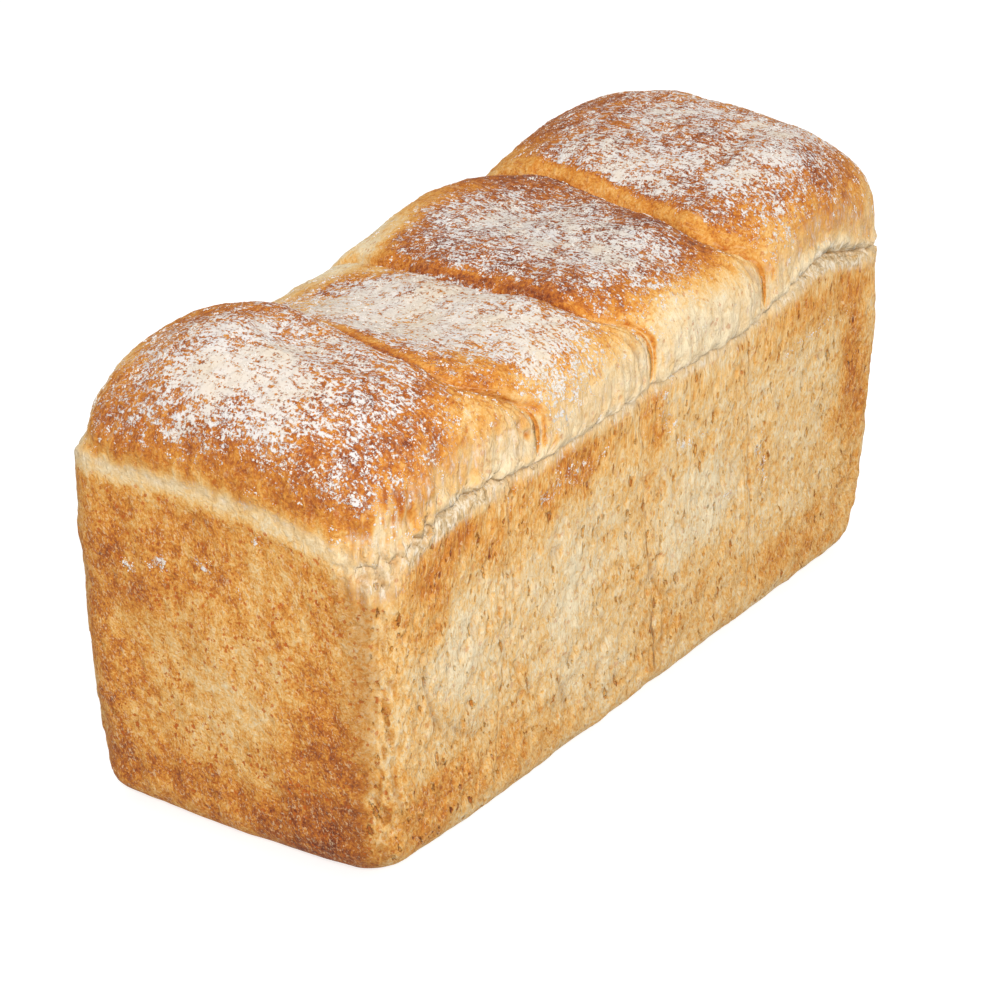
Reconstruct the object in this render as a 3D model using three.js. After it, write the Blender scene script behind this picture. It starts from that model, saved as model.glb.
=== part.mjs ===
// A white tin loaf: four pieces of dough proved and baked side by side in one long tin.
// The walls took the tin's tapered shape. Above the rim each piece rose into its own lobe, which hangs
// a little over the fold that the rim left, and deep seams part the lobes.
//
// Millimetres, +Z up, X along the loaf, origin in the middle of the flat foot.
// The loaf is one closed skin: a box's grid whose every vertex is carried to its place by loafPoint.

import * as THREE from "three";
import { mergeVertices } from "three/addons/utils/BufferGeometryUtils.js";

// The tin-shaped walls. Half sizes are taken at the foot.
const HALF_LENGTH = 139.5;
const HALF_WIDTH = 54.9;
const FLARE = 0.031; // outward lean of each wall per millimetre of height
const CORNER_RADIUS = 15;
const FOOT_RADIUS = 12;
const WALL_SWELL = 1; // how far a wall swells between foot and rim

// The fold where the dough rose past the rim of the tin.
const RIM_HEIGHT = 112.5;
const LIP_HEIGHT = 7; // height of the round lip below the fold
const FOLD_DEPTH = 2.4;
const OVERHANG = 2.8; // how far the lobes hang out over the walls
const UNDERSIDE = 6.5; // height of the hanging roll above the fold

// The domed top, a bar with rounded ends in plan.
const CROWN_HEIGHT = 30;
const PLAN_POWER = 4.6; // squareness of the dome's ends in plan
const FIRM_POWER = 2.8; // squareness of the section at the front and the far end
const SOFT_POWER = 2.05; // and at the back and the near end
const SHOULDER_TURN = 1.08; // radians of the section that belong to the side rows
const LOBE_POWER = 2.2; // roundness of a lobe along the loaf
const SAG_REACH = 0.85; // share of the half width that sinks with a lobe's middle

// Four lobes from the near end (-X) to the far end (+X): height at front and back as a share of
// CROWN_HEIGHT, and how far the middle of each has sunk.
const LOBES = [
  { front: 0.84, back: 0.95, sag: 6 },
  { front: 0.96, back: 0.46, sag: 4 },
  { front: 0.9, back: 0.92, sag: 3 },
  { front: 1.08, back: 1.3, sag: 3 },
];

// Three seams: place along X at the front rim, the back rim and the front foot, the sideways swing over
// the front and the back shoulder and along the middle, depth as a share of the crown, and the pinch at
// the sides. step is the groove that each seam leaves down the front and the back wall.
const SEAMS = [
  { front: -96, back: -58, foot: -86, swing: 22, backSwing: -14, middle: -4, depth: 0.42, pinch: 4, step: 2 },
  { front: -24, back: -28, foot: 4, swing: 12, backSwing: 14, middle: 0, depth: 0.34, pinch: 4, step: 2.2 },
  { front: 38, back: 62, foot: 62, swing: 15, backSwing: 0, middle: 0, depth: 0.42, pinch: 5, step: 1.4 },
];
const SWING_PLACE = 0.92; // a swing is widest here, as a share of the half width
const SWING_SPREAD = 0.22;
const STEP_LEAD = 2; // a wall groove falls in over this length
const STEP_TAIL = 14; // and rises out again over this one

// Rises and dips of the rim, each a soft mound: height, place and radius; only: which wall it is on.
const RIM_MOUNDS = [
  { rise: 9, x: 94, radius: 24, only: "front" }, // the last lobe burst upwards here
  { rise: -2, x: -66, radius: 16, only: "front" },
  { rise: 1.5, x: -105, radius: 25, only: "front" },
  { rise: -7, x: -143, y: -58, radius: 22 }, // torn corner of the lip
  { rise: 1.5, x: -143, y: 15, radius: 28 },
];
// Where the fold is torn open deeper, on the front wall.
const FOLD_TEARS = [
  { depth: 2, x: -100, radius: 25 },
  { depth: 2.5, x: 105, radius: 30 },
];

// Grid lines: along each lobe, across the loaf, and up each band of the side.
const LINES_PER_LOBE = 14;
const LINES_ACROSS = 20;
const BAND_ROWS = [3, 4, 2, 2, 5]; // foot, wall, lip, underside of the lobes, shoulder
const FOOT = 0;
const ROLL = 3;
const SHOULDER = 4;

const RIM_HALF_LENGTH = HALF_LENGTH + FLARE * RIM_HEIGHT;
const RIM_HALF_WIDTH = HALF_WIDTH + FLARE * RIM_HEIGHT;
const DOME_HALF_LENGTH = RIM_HALF_LENGTH + OVERHANG;
const DOME_HALF_WIDTH = RIM_HALF_WIDTH + OVERHANG;

const { clamp, lerp } = THREE.MathUtils;
const mound = (distance, radius) => Math.exp(-((distance / radius) ** 2));
const frontShare = (Y) => (1 - clamp(Y, -1, 1)) / 2;

// X of the two ends and the three seams at a place across the loaf (Y from -1 to 1) and a height.
function stations(Y, z) {
  const low = 1 - clamp(z / RIM_HEIGHT, 0, 1);
  const seams = SEAMS.map(
    (s) =>
      lerp(s.back, s.front, frontShare(Y)) +
      (s.foot - seamAtFrontRim(s)) * low * frontShare(Y) +
      s.swing * mound(Y + SWING_PLACE, SWING_SPREAD) +
      s.backSwing * mound(Y - SWING_PLACE, 2 * SWING_SPREAD) +
      s.middle * (1 - Y * Y),
  );
  return [-RIM_HALF_LENGTH, ...seams, RIM_HALF_LENGTH];
}

function seamAtFrontRim(seam) {
  return seam.front + seam.swing * mound(1 - SWING_PLACE, SWING_SPREAD);
}

// The lobe that a grid line (X from -1 to 1) is on, its share 0 to 1 along that lobe, the nearer seam,
// and the valley: 0 on the crest and 1 in the seam. The loaf's two ends have no valley. Lines crowd
// towards the seams, and every seam is a grid line.
function lobeAt(X) {
  const along = clamp((X + 1) * 2, 0, 4);
  const lobe = Math.min(Math.floor(along), 3);
  const even = along - lobe;
  const share = even / 2 + (1 - Math.cos(Math.PI * even)) / 4;
  let u = 2 * share - 1;
  if ((lobe === 0 && u < 0) || (lobe === 3 && u > 0)) u = 0;
  const valley = 1 - (1 - Math.abs(u) ** LOBE_POWER) ** (1 / LOBE_POWER);
  const seam = clamp(u < 0 ? lobe - 1 : lobe, 0, 2);
  return { lobe, share, seam, valley };
}

// X in millimetres of a grid line at a place across the loaf and a height.
function lineX(X, Y, z) {
  const { lobe, share } = lobeAt(X);
  const line = stations(Y, z);
  return lerp(line[lobe], line[lobe + 1], share);
}

// Height of the fold above the foot at a plan point.
function rimHeight(x, y) {
  const front = frontShare(y / RIM_HALF_WIDTH) ** 2;
  return RIM_MOUNDS.reduce((height, m) => {
    const far = m.only === "front" ? Math.abs(x - m.x) : Math.hypot(x - m.x, y - m.y);
    return height + m.rise * mound(far, m.radius) * (m.only === "front" ? front : 1);
  }, RIM_HEIGHT);
}

function foldDepth(x, Y) {
  return FOLD_TEARS.reduce(
    (depth, t) => depth + t.depth * mound(x - t.x, t.radius) * frontShare(Y),
    FOLD_DEPTH,
  );
}

// Depth of the seam grooves on a wall: each falls in quickly and rises out slowly along +X.
function wallGroove(x, Y, z) {
  const line = stations(Y, z);
  return SEAMS.reduce((depth, s, i) => {
    const past = x - line[i + 1];
    return depth + s.step * Math.exp(past < 0 ? past / STEP_LEAD : -past / STEP_TAIL);
  }, 0);
}

// Carries a point of a rectangle to the rounded rectangle: the corner squares become quarter discs.
function roundCorners(x, y, halfX, halfY, radius) {
  const cx = clamp((Math.abs(x) - (halfX - radius)) / radius, 0, 1);
  const cy = clamp((Math.abs(y) - (halfY - radius)) / radius, 0, 1);
  const rx = cx > 0 ? halfX - radius + radius * cx * Math.sqrt(1 - cy ** 2 / 2) : Math.abs(x);
  const ry = cy > 0 ? halfY - radius + radius * cy * Math.sqrt(1 - cx ** 2 / 2) : Math.abs(y);
  return [Math.sign(x) * rx, Math.sign(y) * ry];
}

// 1 on the dome's outline in plan, falling to 0 on its middle line.
function ringOf(x, y) {
  const qx = Math.max(Math.abs(x) - (DOME_HALF_LENGTH - DOME_HALF_WIDTH), 0) / DOME_HALF_WIDTH;
  const qy = Math.abs(y) / DOME_HALF_WIDTH;
  return (qx ** PLAN_POWER + qy ** PLAN_POWER) ** (1 / PLAN_POWER);
}

// Moves a plan point in or out to the wanted ring.
function toRing(x, y, ring) {
  const k = ring / ringOf(x, y);
  const bar = DOME_HALF_LENGTH - DOME_HALF_WIDTH;
  const along = Math.abs(x) > bar ? Math.sign(x) * (bar + (Math.abs(x) - bar) * k) : x;
  return [along, y * k];
}

// Squareness of the dome's section: firm at the front and the far end, soft elsewhere.
function sectionPower(X, Y) {
  const front = clamp(0.5 - 0.75 * Y, 0, 1);
  const far = clamp(2 * X - 1, 0, 1);
  return lerp(SOFT_POWER, FIRM_POWER, 1 - (1 - front) * (1 - far));
}

// Height of the domed top over a plan point of grid line X.
function domeHeight(X, x, y) {
  const Y = clamp(y / DOME_HALF_WIDTH, -1, 1);
  const back = 1 - frontShare(Y);
  const at = lobeAt(X);
  const high = (lobe) => lerp(LOBES[lobe].front, LOBES[lobe].back, back);
  const seamHigh = (high(at.seam) + high(at.seam + 1)) / 2;
  const power = sectionPower(x / DOME_HALF_LENGTH, Y);
  const section = Math.max(1 - ringOf(x, y) ** power, 0) ** (1 / power);
  const crown = CROWN_HEIGHT * section * lerp(high(at.lobe), seamHigh, at.valley);
  const sunken =
    LOBES[at.lobe].sag * (1 - (2 * at.share - 1) ** 2) ** 2 * Math.max(1 - (Y / SAG_REACH) ** 2, 0) ** 2;
  return rimHeight(x, y) + UNDERSIDE + crown * (1 - SEAMS[at.seam].depth * at.valley) - sunken;
}

// A point of the side skin. (X, Y) is on the square's edge and row climbs through the five bands.
function sidePoint(X, Y, row) {
  const band = Math.min(Math.floor(row), SHOULDER);
  const share = row - band;
  const turn = (share * Math.PI) / 2;
  const rimX = lineX(X, Y, RIM_HEIGHT);
  const rim = rimHeight(rimX, Y * RIM_HALF_WIDTH);
  const fold = foldDepth(rimX, Y);
  const roll = band === SHOULDER ? 1 : band === ROLL ? Math.sin(turn) : 0;

  // The wall's outline at this row.
  const height = [
    FOOT_RADIUS * (1 - Math.cos(turn)),
    lerp(FOOT_RADIUS, rim - LIP_HEIGHT, share),
    rim - LIP_HEIGHT + LIP_HEIGHT * Math.sin(turn),
    rim + UNDERSIDE * (1 - Math.cos(turn)),
    rim,
  ][band];
  const tuck = [
    FOOT_RADIUS * (1 - Math.sin(turn)),
    0,
    fold * (1 - Math.cos(turn)),
    fold - (fold + OVERHANG) * Math.sin(turn),
    0,
  ][band];
  const leaning = Math.min(height, RIM_HEIGHT);
  const climb = clamp((height - FOOT_RADIUS) / (rim - FOOT_RADIUS), 0, 1);
  const out = FLARE * leaning - tuck + WALL_SWELL * Math.sin(Math.PI * climb);
  const halfX = HALF_LENGTH + out;
  const halfY = HALF_WIDTH + out;
  const gridX = lineX(X, Y, leaning);
  const radius = CORNER_RADIUS - (band === FOOT ? tuck : 0);
  const wall = roundCorners((gridX * halfX) / RIM_HALF_LENGTH, Y * halfY, halfX, halfY, radius);
  if (Math.abs(Y) === 1) wall[1] -= Y * wallGroove(gridX, Y, leaning) * Math.sin((Math.PI / 2) * climb);

  // The dome's outline at this row, pinched in where a seam comes over the edge.
  const ring = band === SHOULDER ? Math.cos(share * SHOULDER_TURN) ** (2 / sectionPower(X, Y)) : 1;
  const domeX = (lineX(X, Y * ring, RIM_HEIGHT) * DOME_HALF_LENGTH) / RIM_HALF_LENGTH;
  const square = roundCorners(domeX, Y * DOME_HALF_WIDTH, DOME_HALF_LENGTH, DOME_HALF_WIDTH, CORNER_RADIUS);
  const dome = toRing(...square, ring);
  const at = lobeAt(X);
  const pinch = SEAMS[at.seam].pinch * at.valley ** 2 * (Math.abs(dome[1]) / DOME_HALF_WIDTH) ** 6;
  dome[1] -= Math.sign(dome[1]) * pinch * roll;

  const x = lerp(wall[0], dome[0], roll);
  const y = lerp(wall[1], dome[1], roll);
  return new THREE.Vector3(x, y, band === SHOULDER ? domeHeight(X, ...dome) : height);
}

// Fills the square inside a closed edge: the blend of the edge's four sides (a Coons patch).
function fillInside(edge, X, Y) {
  const u = (X + 1) / 2;
  const v = (Y + 1) / 2;
  return new THREE.Vector3()
    .addScaledVector(edge(-1, Y), 1 - u)
    .addScaledVector(edge(1, Y), u)
    .addScaledVector(edge(X, -1), 1 - v)
    .addScaledVector(edge(X, 1), v)
    .addScaledVector(edge(-1, -1), -(1 - u) * (1 - v))
    .addScaledVector(edge(1, -1), -u * (1 - v))
    .addScaledVector(edge(-1, 1), -(1 - u) * v)
    .addScaledVector(edge(1, 1), -u * v);
}

// How far a grid line on top bends along X from the straight line between its two ends.
function seamBend(X, Y, across) {
  const ring = (side) => side * Math.cos(SHOULDER_TURN) ** (2 / sectionPower(X, side));
  const straight = lerp(lineX(X, ring(-1), RIM_HEIGHT), lineX(X, ring(1), RIM_HEIGHT), (Y + 1) / 2);
  return lineX(X, across, RIM_HEIGHT) - straight;
}

// Height on the grid box (0 to the number of rows) to the row number of sidePoint, one unit a band.
function rowAt(step) {
  let start = 0;
  for (let band = 0; band < BAND_ROWS.length; band++) {
    if (step < start + BAND_ROWS[band]) return band + (step - start) / BAND_ROWS[band];
    start += BAND_ROWS[band];
  }
  return BAND_ROWS.length;
}

// Carries a vertex of the grid box, whose coordinates run from -1 to 1, to its place on the loaf.
function loafPoint(X, Y, Z, rows) {
  if (Math.abs(X) === 1 || Math.abs(Y) === 1) return sidePoint(X, Y, rowAt(((Z + 1) / 2) * rows));
  if (Z < 0) return fillInside((ex, ey) => sidePoint(ex, ey, 0), X, Y);
  const top = fillInside((ex, ey) => sidePoint(ex, ey, BAND_ROWS.length), X, Y);
  top.x += seamBend(X, Y, top.y / DOME_HALF_WIDTH);
  top.z = domeHeight(X, top.x, top.y);
  return top;
}

function makeLoafGeometry() {
  const rows = BAND_ROWS.reduce((sum, n) => sum + n, 0);
  const grid = new THREE.BoxGeometry(2, 2, 2, 4 * LINES_PER_LOBE, LINES_ACROSS, rows);
  grid.deleteAttribute("normal");
  grid.deleteAttribute("uv");
  const geometry = mergeVertices(grid);
  const place = geometry.getAttribute("position");
  const tidy = (value) => Math.round(value * 1e6) / 1e6;
  for (let i = 0; i < place.count; i++) {
    const vertex = [place.getX(i), place.getY(i), place.getZ(i)].map(tidy);
    place.setXYZ(i, ...loafPoint(...vertex, rows));
  }
  geometry.computeBoundingBox();
  const middle = geometry.boundingBox.getCenter(new THREE.Vector3());
  geometry.translate(-middle.x, -middle.y, -geometry.boundingBox.min.z);
  geometry.computeVertexNormals();
  return geometry;
}

const crust = new THREE.MeshStandardMaterial({ color: 0xcf9450, roughness: 0.75, metalness: 0 });

const loaf = new THREE.Mesh(makeLoafGeometry(), crust);
loaf.name = "loaf";

const tinLoaf = new THREE.Group();
tinLoaf.name = "tin_loaf";
tinLoaf.add(loaf);

export default tinLoaf;
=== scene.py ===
"""A white tin loaf: four pieces of dough baked side by side in one long tin, the top dusted with flour.

The loaf has one skin. Its walls took the tapered shape of the tin, a fold runs round where the rim of
the tin was, and above it each piece of dough rose into its own lobe. LoafForm gives the smooth skin,
Relief roughens it as baked dough is rough, and Bake says how brown, pale or floury each place is.
The skin is made as two closed pieces that meet in the fold, the walls and the crown.

Formulas work in millimetres, meshes in metres. +Z is up and X runs along the loaf. "Along" and
"across" are places on the loaf from -1 to 1, and shares go from 0 to 1.
"""

import logging
import math
from dataclasses import dataclass
from enum import Enum
from itertools import combinations

import bpy
import numpy as np
from mathutils import Matrix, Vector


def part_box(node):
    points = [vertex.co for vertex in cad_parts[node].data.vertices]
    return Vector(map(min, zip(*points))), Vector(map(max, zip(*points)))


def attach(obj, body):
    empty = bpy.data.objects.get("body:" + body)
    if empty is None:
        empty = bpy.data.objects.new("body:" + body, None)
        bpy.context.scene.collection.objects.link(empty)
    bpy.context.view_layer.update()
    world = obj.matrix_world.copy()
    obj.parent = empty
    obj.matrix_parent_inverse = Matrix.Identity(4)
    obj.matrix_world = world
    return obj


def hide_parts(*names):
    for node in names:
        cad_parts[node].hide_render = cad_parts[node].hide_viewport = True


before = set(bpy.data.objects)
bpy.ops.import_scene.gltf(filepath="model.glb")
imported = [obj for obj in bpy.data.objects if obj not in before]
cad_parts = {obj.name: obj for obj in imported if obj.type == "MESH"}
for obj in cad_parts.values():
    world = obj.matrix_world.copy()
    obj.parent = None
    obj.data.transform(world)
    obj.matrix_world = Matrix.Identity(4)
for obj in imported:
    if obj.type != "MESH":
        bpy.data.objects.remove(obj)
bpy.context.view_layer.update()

LOG = logging.getLogger("tin_loaf")
NODE = "loaf"
BODY = "root"
MM = 0.001
WALL_HEIGHT = 112

Array = np.ndarray
Rgb = tuple[float, float, float]
Row = tuple[float, ...]
Stops = tuple[tuple[float, Rgb], ...]
Socket = bpy.types.NodeSocket
Value = Socket | float | Row


def lerp(a: Array, b: Array, share: Array) -> Array:
    """The value that lies the given share of the way from a to b."""
    return a + (b - a) * share


def ramp(low: float, high: float, value: Array) -> Array:
    """A smooth step: 0 up to low, 1 from high on, and 3t^2 - 2t^3 between them."""
    t = np.clip((value - low) / (high - low), 0, 1)
    return t * t * (3 - 2 * t)


def window(low: float, full: float, fading: float, high: float, value: Array) -> Array:
    """A smooth window: 0 up to low, 1 from full to fading, and 0 from high on."""
    return ramp(low, full, value) * (1 - ramp(fading, high, value))


def mound(distance: Array, radius: float) -> Array:
    """A soft bell, exp(-(distance / radius)^2)."""
    return np.exp(-((distance / radius) ** 2))


def unit(vectors: Array) -> Array:
    """Vectors made one long."""
    return vectors / np.linalg.norm(vectors, axis=-1, keepdims=True)


@dataclass(frozen=True)
class Grain:
    """Seeded noise, the same on every run. A salt picks one of many independent patterns."""

    seed: int
    odd_numbers: tuple[int, int, int] = (0x8DA6B343, 0xD8163841, 0xCB1AB31F)

    def hashed(self, cells: Array, salt: int) -> Array:
        """Even random numbers: products of cell numbers and odd numbers, mixed by exclusive-or.

        Args:
            cells: Whole numbers, three for each cell.
            salt: The pattern's salt.

        Returns:
            A share for each cell.
        """
        start = (self.seed * 747796405 + salt * 2891336453 + 12345) % 2**32
        mixed = np.full(cells.shape[:-1], start, np.uint32)
        for axis, odd in enumerate(self.odd_numbers):
            mixed ^= cells[..., axis].astype(np.int64).astype(np.uint32) * np.uint32(odd)
            mixed ^= mixed >> np.uint32(15)
            mixed *= np.uint32(0x2C1B3C6D)
            mixed ^= mixed >> np.uint32(12)
        return mixed / 2.0**32

    def soft(self, points: Array, salt: int) -> Array:
        """Gradient noise: at each lattice corner a random slope, blended by 6t^5 - 15t^4 + 10t^3.

        Args:
            points: Places in units of the wanted bump size.
            salt: The pattern's salt.

        Returns:
            A number of about -1 to 1 for each place.
        """
        low = np.floor(points).astype(np.int64)
        inside = points - low
        fade = inside**3 * (inside * (inside * 6 - 15) + 10)
        total = np.zeros(points.shape[0])
        for corner in range(8):
            step = np.array([corner & 1, corner >> 1 & 1, corner >> 2 & 1])
            pick = (self.hashed(low + step, salt) * len(SLOPES)).astype(np.int64)
            slope = (SLOPES[pick] * (inside - step)).sum(-1)
            total += slope * np.where(step == 1, fade, 1 - fade).prod(-1)
        return total * 1.5

    def rough(self, points: Array, salt: int, octaves: int = 3) -> Array:
        """Sum of soft noise at halving bump sizes and halving heights."""
        layers = [self.soft(points * 2**k, salt + 17 * k) / 2**k for k in range(octaves)]
        return np.sum(layers, 0) / (2 - 2.0 ** (1 - octaves))

    def spots(self, points: Array, salt: int, share: float) -> Array:
        """Scattered round spots, one at a random place in some of the unit cells.

        Args:
            points: Places in units of the cell size.
            salt: The pattern's salt.
            share: Share of the cells that hold a spot.

        Returns:
            1 at a spot's middle, falling to 0 at its random radius of 0.25 to 0.6 of a cell.
        """
        low = np.floor(points).astype(np.int64)
        best = np.zeros(points.shape[0])
        for index in range(27):
            cell = low + np.array([index % 3, index // 3 % 3, index // 9]) - 1
            place = np.stack([self.hashed(cell, salt + k) for k in (1, 2, 3)], -1)
            far = np.linalg.norm(points - cell - place, axis=-1)
            radius = 0.25 + 0.35 * self.hashed(cell, salt + 4)
            best = np.maximum(best, np.where(self.hashed(cell, salt + 5) < share, 1 - far / radius, 0))
        return best


SLOPES = np.array(
    [np.insert([a, b], zero, 0) for zero in (2, 1, 0) for a in (1, -1) for b in (1, -1)],
    float,
)


@dataclass(frozen=True)
class Lobe:
    """One lobe of the crown: its height at the front and the back, and how far its middle sank."""

    front: float
    back: float
    sag: float


@dataclass(frozen=True)
class Seam:
    """One seam between two lobes: its places along X, its bends, its depth and its wall step.

    The walls follow the given share of the swing over the front shoulder.
    """

    front: float
    back: float
    foot: float
    swing: float
    wall_share: float
    back_swing: float
    middle: float
    depth: float
    pinch: float
    step: float


@dataclass(frozen=True)
class Rise:
    """A rise or dip: a soft mound along the front wall, or round a plan point."""

    height: float
    x: float
    radius: float
    y: float | None = None


@dataclass(frozen=True)
class Pull:
    """A soft move of the crown in plan, round a plan point."""

    x: float
    y: float
    radius: float
    along: float
    across: float


class Band(Enum):
    """The bands of the side skin, from the foot up."""

    FOOT = 0
    WALL = 1
    LIP = 2
    ROLL = 3
    SHOULDER = 4


@dataclass
class LobePlace:
    """Where grid lines lie: lobe number, share along the lobe, nearer seam, and the seam's valley."""

    lobe: Array
    share: Array
    seam: Array
    valley: Array


@dataclass(frozen=True)
class LoafForm:
    """The smooth skin of the loaf, from the same rules as the solid: a grid carried to its place."""

    half_length: float = 139.5
    half_width: float = 54.9
    flare: float = 0.031
    corner_radius: float = 15
    foot_radius: float = 12
    wall_swell: float = 1
    rim_height: float = 112.5
    lip_height: float = 7
    fold: float = 2.4
    overhang: float = 2.8
    underside: float = 6.5
    slit_start: float = 0.84
    crown_height: float = 30
    plan_power: float = 4.6
    firm_power: float = 2.8
    soft_power: float = 2.05
    slack_power: float = 1.6
    seam_power: float = 2.5
    shoulder_turn: float = 1.08
    lobe_power: float = 2.5
    sag_reach: float = 0.85
    swing_spread: float = 0.2
    back_swing_place: float = 0.92
    back_swing_spread: float = 0.44
    step_lead: float = 1.2
    step_tail: float = 14
    lobes: tuple[Lobe, ...] = (
        Lobe(0.91, 1.28, 4),
        Lobe(0.97, 0.61, 4),
        Lobe(0.93, 0.98, 3),
        Lobe(1.05, 1.285, 3),
    )
    seams: tuple[Seam, ...] = (
        Seam(-95, -58, -86, 28, 0.55, -14, -4, 0.42, 4, 2),
        Seam(-26, -28, 4, 17.5, 0.74, 14, 0, 0.34, 4, 2.2),
        Seam(38, 62, 62, 19, 0.6, 0, 0, 0.42, 5, 1.4),
    )
    rises: tuple[Rise, ...] = (
        Rise(9, 94, 24),
        Rise(-2, -66, 16),
        Rise(1.5, -105, 25),
        Rise(-7, -143, 22, -58),
        Rise(1.5, -143, 28, 15),
    )
    swells: tuple[Rise, ...] = (
        Rise(-2, -96, 20, 40),
        Rise(-3, -60, 14, 46),
        Rise(4.5, 26, 22, 50),
        Rise(-2, 30, 16, 8),
        Rise(3, 38, 14, -34),
        Rise(3.5, -24, 14, -32),
        Rise(4, 134, 20, 10),
        Rise(2.5, 122, 22, -16),
        Rise(1, 92, 30, 40),
    )
    pulls: tuple[Pull, ...] = (
        Pull(-145, 58, 36, -1, -3),
        Pull(-146, -4, 66, 2.4, 0),
        Pull(-110, -58, 25, 0, 3.8),
        Pull(100, -58, 30, 0, 3.6),
        Pull(145, 58, 36, -0.5, 3),
    )
    tears: tuple[Rise, ...] = (Rise(6.5, -110, 25), Rise(7, 100, 32))

    @property
    def rim(self) -> Array:
        """Half length and half width of the walls at the rim."""
        return np.array([self.half_length, self.half_width]) + self.flare * self.rim_height

    @property
    def dome(self) -> Array:
        """Half length and half width of the crown."""
        return self.rim + self.overhang

    @staticmethod
    def front_share(across: Array) -> Array:
        """1 at the front wall, falling evenly to 0 at the back wall."""
        return (1 - np.clip(across, -1, 1)) / 2

    def stations(self, across: Array, height: Array, wall: bool = False) -> Array:
        """X of the two ends and the three seams.

        A seam runs straight from its back place to its front place, plus a bell-shaped swing over each
        shoulder and a bow in the middle, and on the front wall it leans to its place at the foot.

        Args:
            across: Places across the loaf.
            height: Heights above the foot.
            wall: Whether the line is on a wall, which follows the swing less than the crown does.

        Returns:
            Five rows of X, from the near end to the far end.
        """
        front = self.front_share(across)
        low = 1 - np.clip(height / self.rim_height, 0, 1)
        lines = [np.full(np.broadcast(across, height).shape, -self.rim[0])]
        for seam in self.seams:
            swing = seam.swing * (seam.wall_share if wall else 1)
            lines.append(
                lerp(seam.back, seam.front, front)
                + (seam.foot - seam.front - swing) * low * front
                + swing * mound(across + 1, self.swing_spread)
                + seam.back_swing * mound(across - self.back_swing_place, self.back_swing_spread)
                + seam.middle * (1 - across**2)
            )
        return np.stack([*lines, -lines[0]])

    def lobe_at(self, along: Array) -> LobePlace:
        """Finds the lobe of each grid line.

        The share along a lobe is eased so that lines crowd towards the seams. The valley is
        1 - (1 - |u|^p)^(1/p), with u from -1 to 1 along the lobe, and the loaf's ends have none.

        Args:
            along: Grid lines.

        Returns:
            The place of each line.
        """
        place = np.clip((along + 1) * 2, 0, 4)
        lobe = np.minimum(np.floor(place), 3).astype(int)
        even = place - lobe
        share = even / 2 + (1 - np.cos(math.pi * even)) / 4
        u = 2 * share - 1
        u = np.where((lobe == 0) & (u < 0) | (lobe == 3) & (u > 0), 0, u)
        valley = 1 - (1 - np.abs(u) ** self.lobe_power) ** (1 / self.lobe_power)
        seam = np.clip(np.where(u < 0, lobe - 1, lobe), 0, 2)
        return LobePlace(lobe, share, seam, valley)

    def line_x(self, along: Array, across: Array, height: Array, wall: bool = False) -> Array:
        """X of grid lines: the share of the way between the two stations that bound their lobe."""
        at = self.lobe_at(along)
        lines = self.stations(across, height, wall)
        lobe, share, _ = np.broadcast_arrays(at.lobe, at.share, lines[0])
        lines = np.broadcast_to(lines, (5, *lobe.shape))
        start, end = (np.take_along_axis(lines, lobe[None] + k, 0)[0] for k in (0, 1))
        return lerp(start, end, share)

    def fold_height(self, x: Array, y: Array) -> Array:
        """Height of the fold over a plan point: the rim plus its rises and dips."""
        front = self.front_share(y / self.rim[1]) ** 2
        height = np.full(np.broadcast(x, y).shape, self.rim_height)
        for rise in self.rises:
            far = x - rise.x if rise.y is None else np.hypot(x - rise.x, y - rise.y)
            height = height + rise.height * mound(far, rise.radius) * (front if rise.y is None else 1)
        return height

    def slit(self, across: Array) -> Array:
        """1 where the fold is a slit, on the long walls, falling to 0 round the ends."""
        return np.where(np.abs(across) == 1, 1, ramp(self.slit_start, 1, -across))

    def fold_depth(self, x: Array, across: Array) -> Array:
        """Depth of the fold's slit, deeper where the front wall is torn open."""
        torn = sum(t.height * mound(x - t.x, t.radius) for t in self.tears)
        return (self.fold + torn * self.front_share(across) ** 2) * self.slit(across)

    def wall_groove(self, x: Array, across: Array, height: Array) -> Array:
        """Depth of the seams' steps on a wall: each falls in quickly and rises out slowly along +X."""
        lines = self.stations(across, height, wall=True)
        depth = np.zeros(np.broadcast(x, lines[0]).shape)
        for seam, line in zip(self.seams, lines[1:4]):
            past = x - line
            depth = depth + seam.step * np.exp(
                np.where(past < 0, past / self.step_lead, -past / self.step_tail)
            )
        return depth

    @staticmethod
    def round_corners(x: Array, y: Array, half: Array, radius: Array) -> tuple[Array, Array]:
        """Carries points of a rectangle to the rounded rectangle.

        In a corner square the two shares (a, b) become (a sqrt(1 - b^2 / 2), b sqrt(1 - a^2 / 2)),
        which turns the square into a quarter disc.

        Args:
            x: X in the rectangle.
            y: Y in the rectangle.
            half: Half length and half width.
            radius: Radius of the corners.

        Returns:
            X and Y in the rounded rectangle.
        """
        cx = np.clip((np.abs(x) - (half[0] - radius)) / radius, 0, 1)
        cy = np.clip((np.abs(y) - (half[1] - radius)) / radius, 0, 1)
        rx = np.where(cx > 0, half[0] - radius + radius * cx * np.sqrt(1 - cy**2 / 2), np.abs(x))
        ry = np.where(cy > 0, half[1] - radius + radius * cy * np.sqrt(1 - cx**2 / 2), np.abs(y))
        return np.sign(x) * rx, np.sign(y) * ry

    def ring_of(self, x: Array, y: Array) -> Array:
        """1 on the crown's outline in plan, 0 on its middle line: a superellipse norm with a bar."""
        qx = np.maximum(np.abs(x) - (self.dome[0] - self.dome[1]), 0) / self.dome[1]
        qy = np.abs(y) / self.dome[1]
        return (qx**self.plan_power + qy**self.plan_power) ** (1 / self.plan_power)

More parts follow.
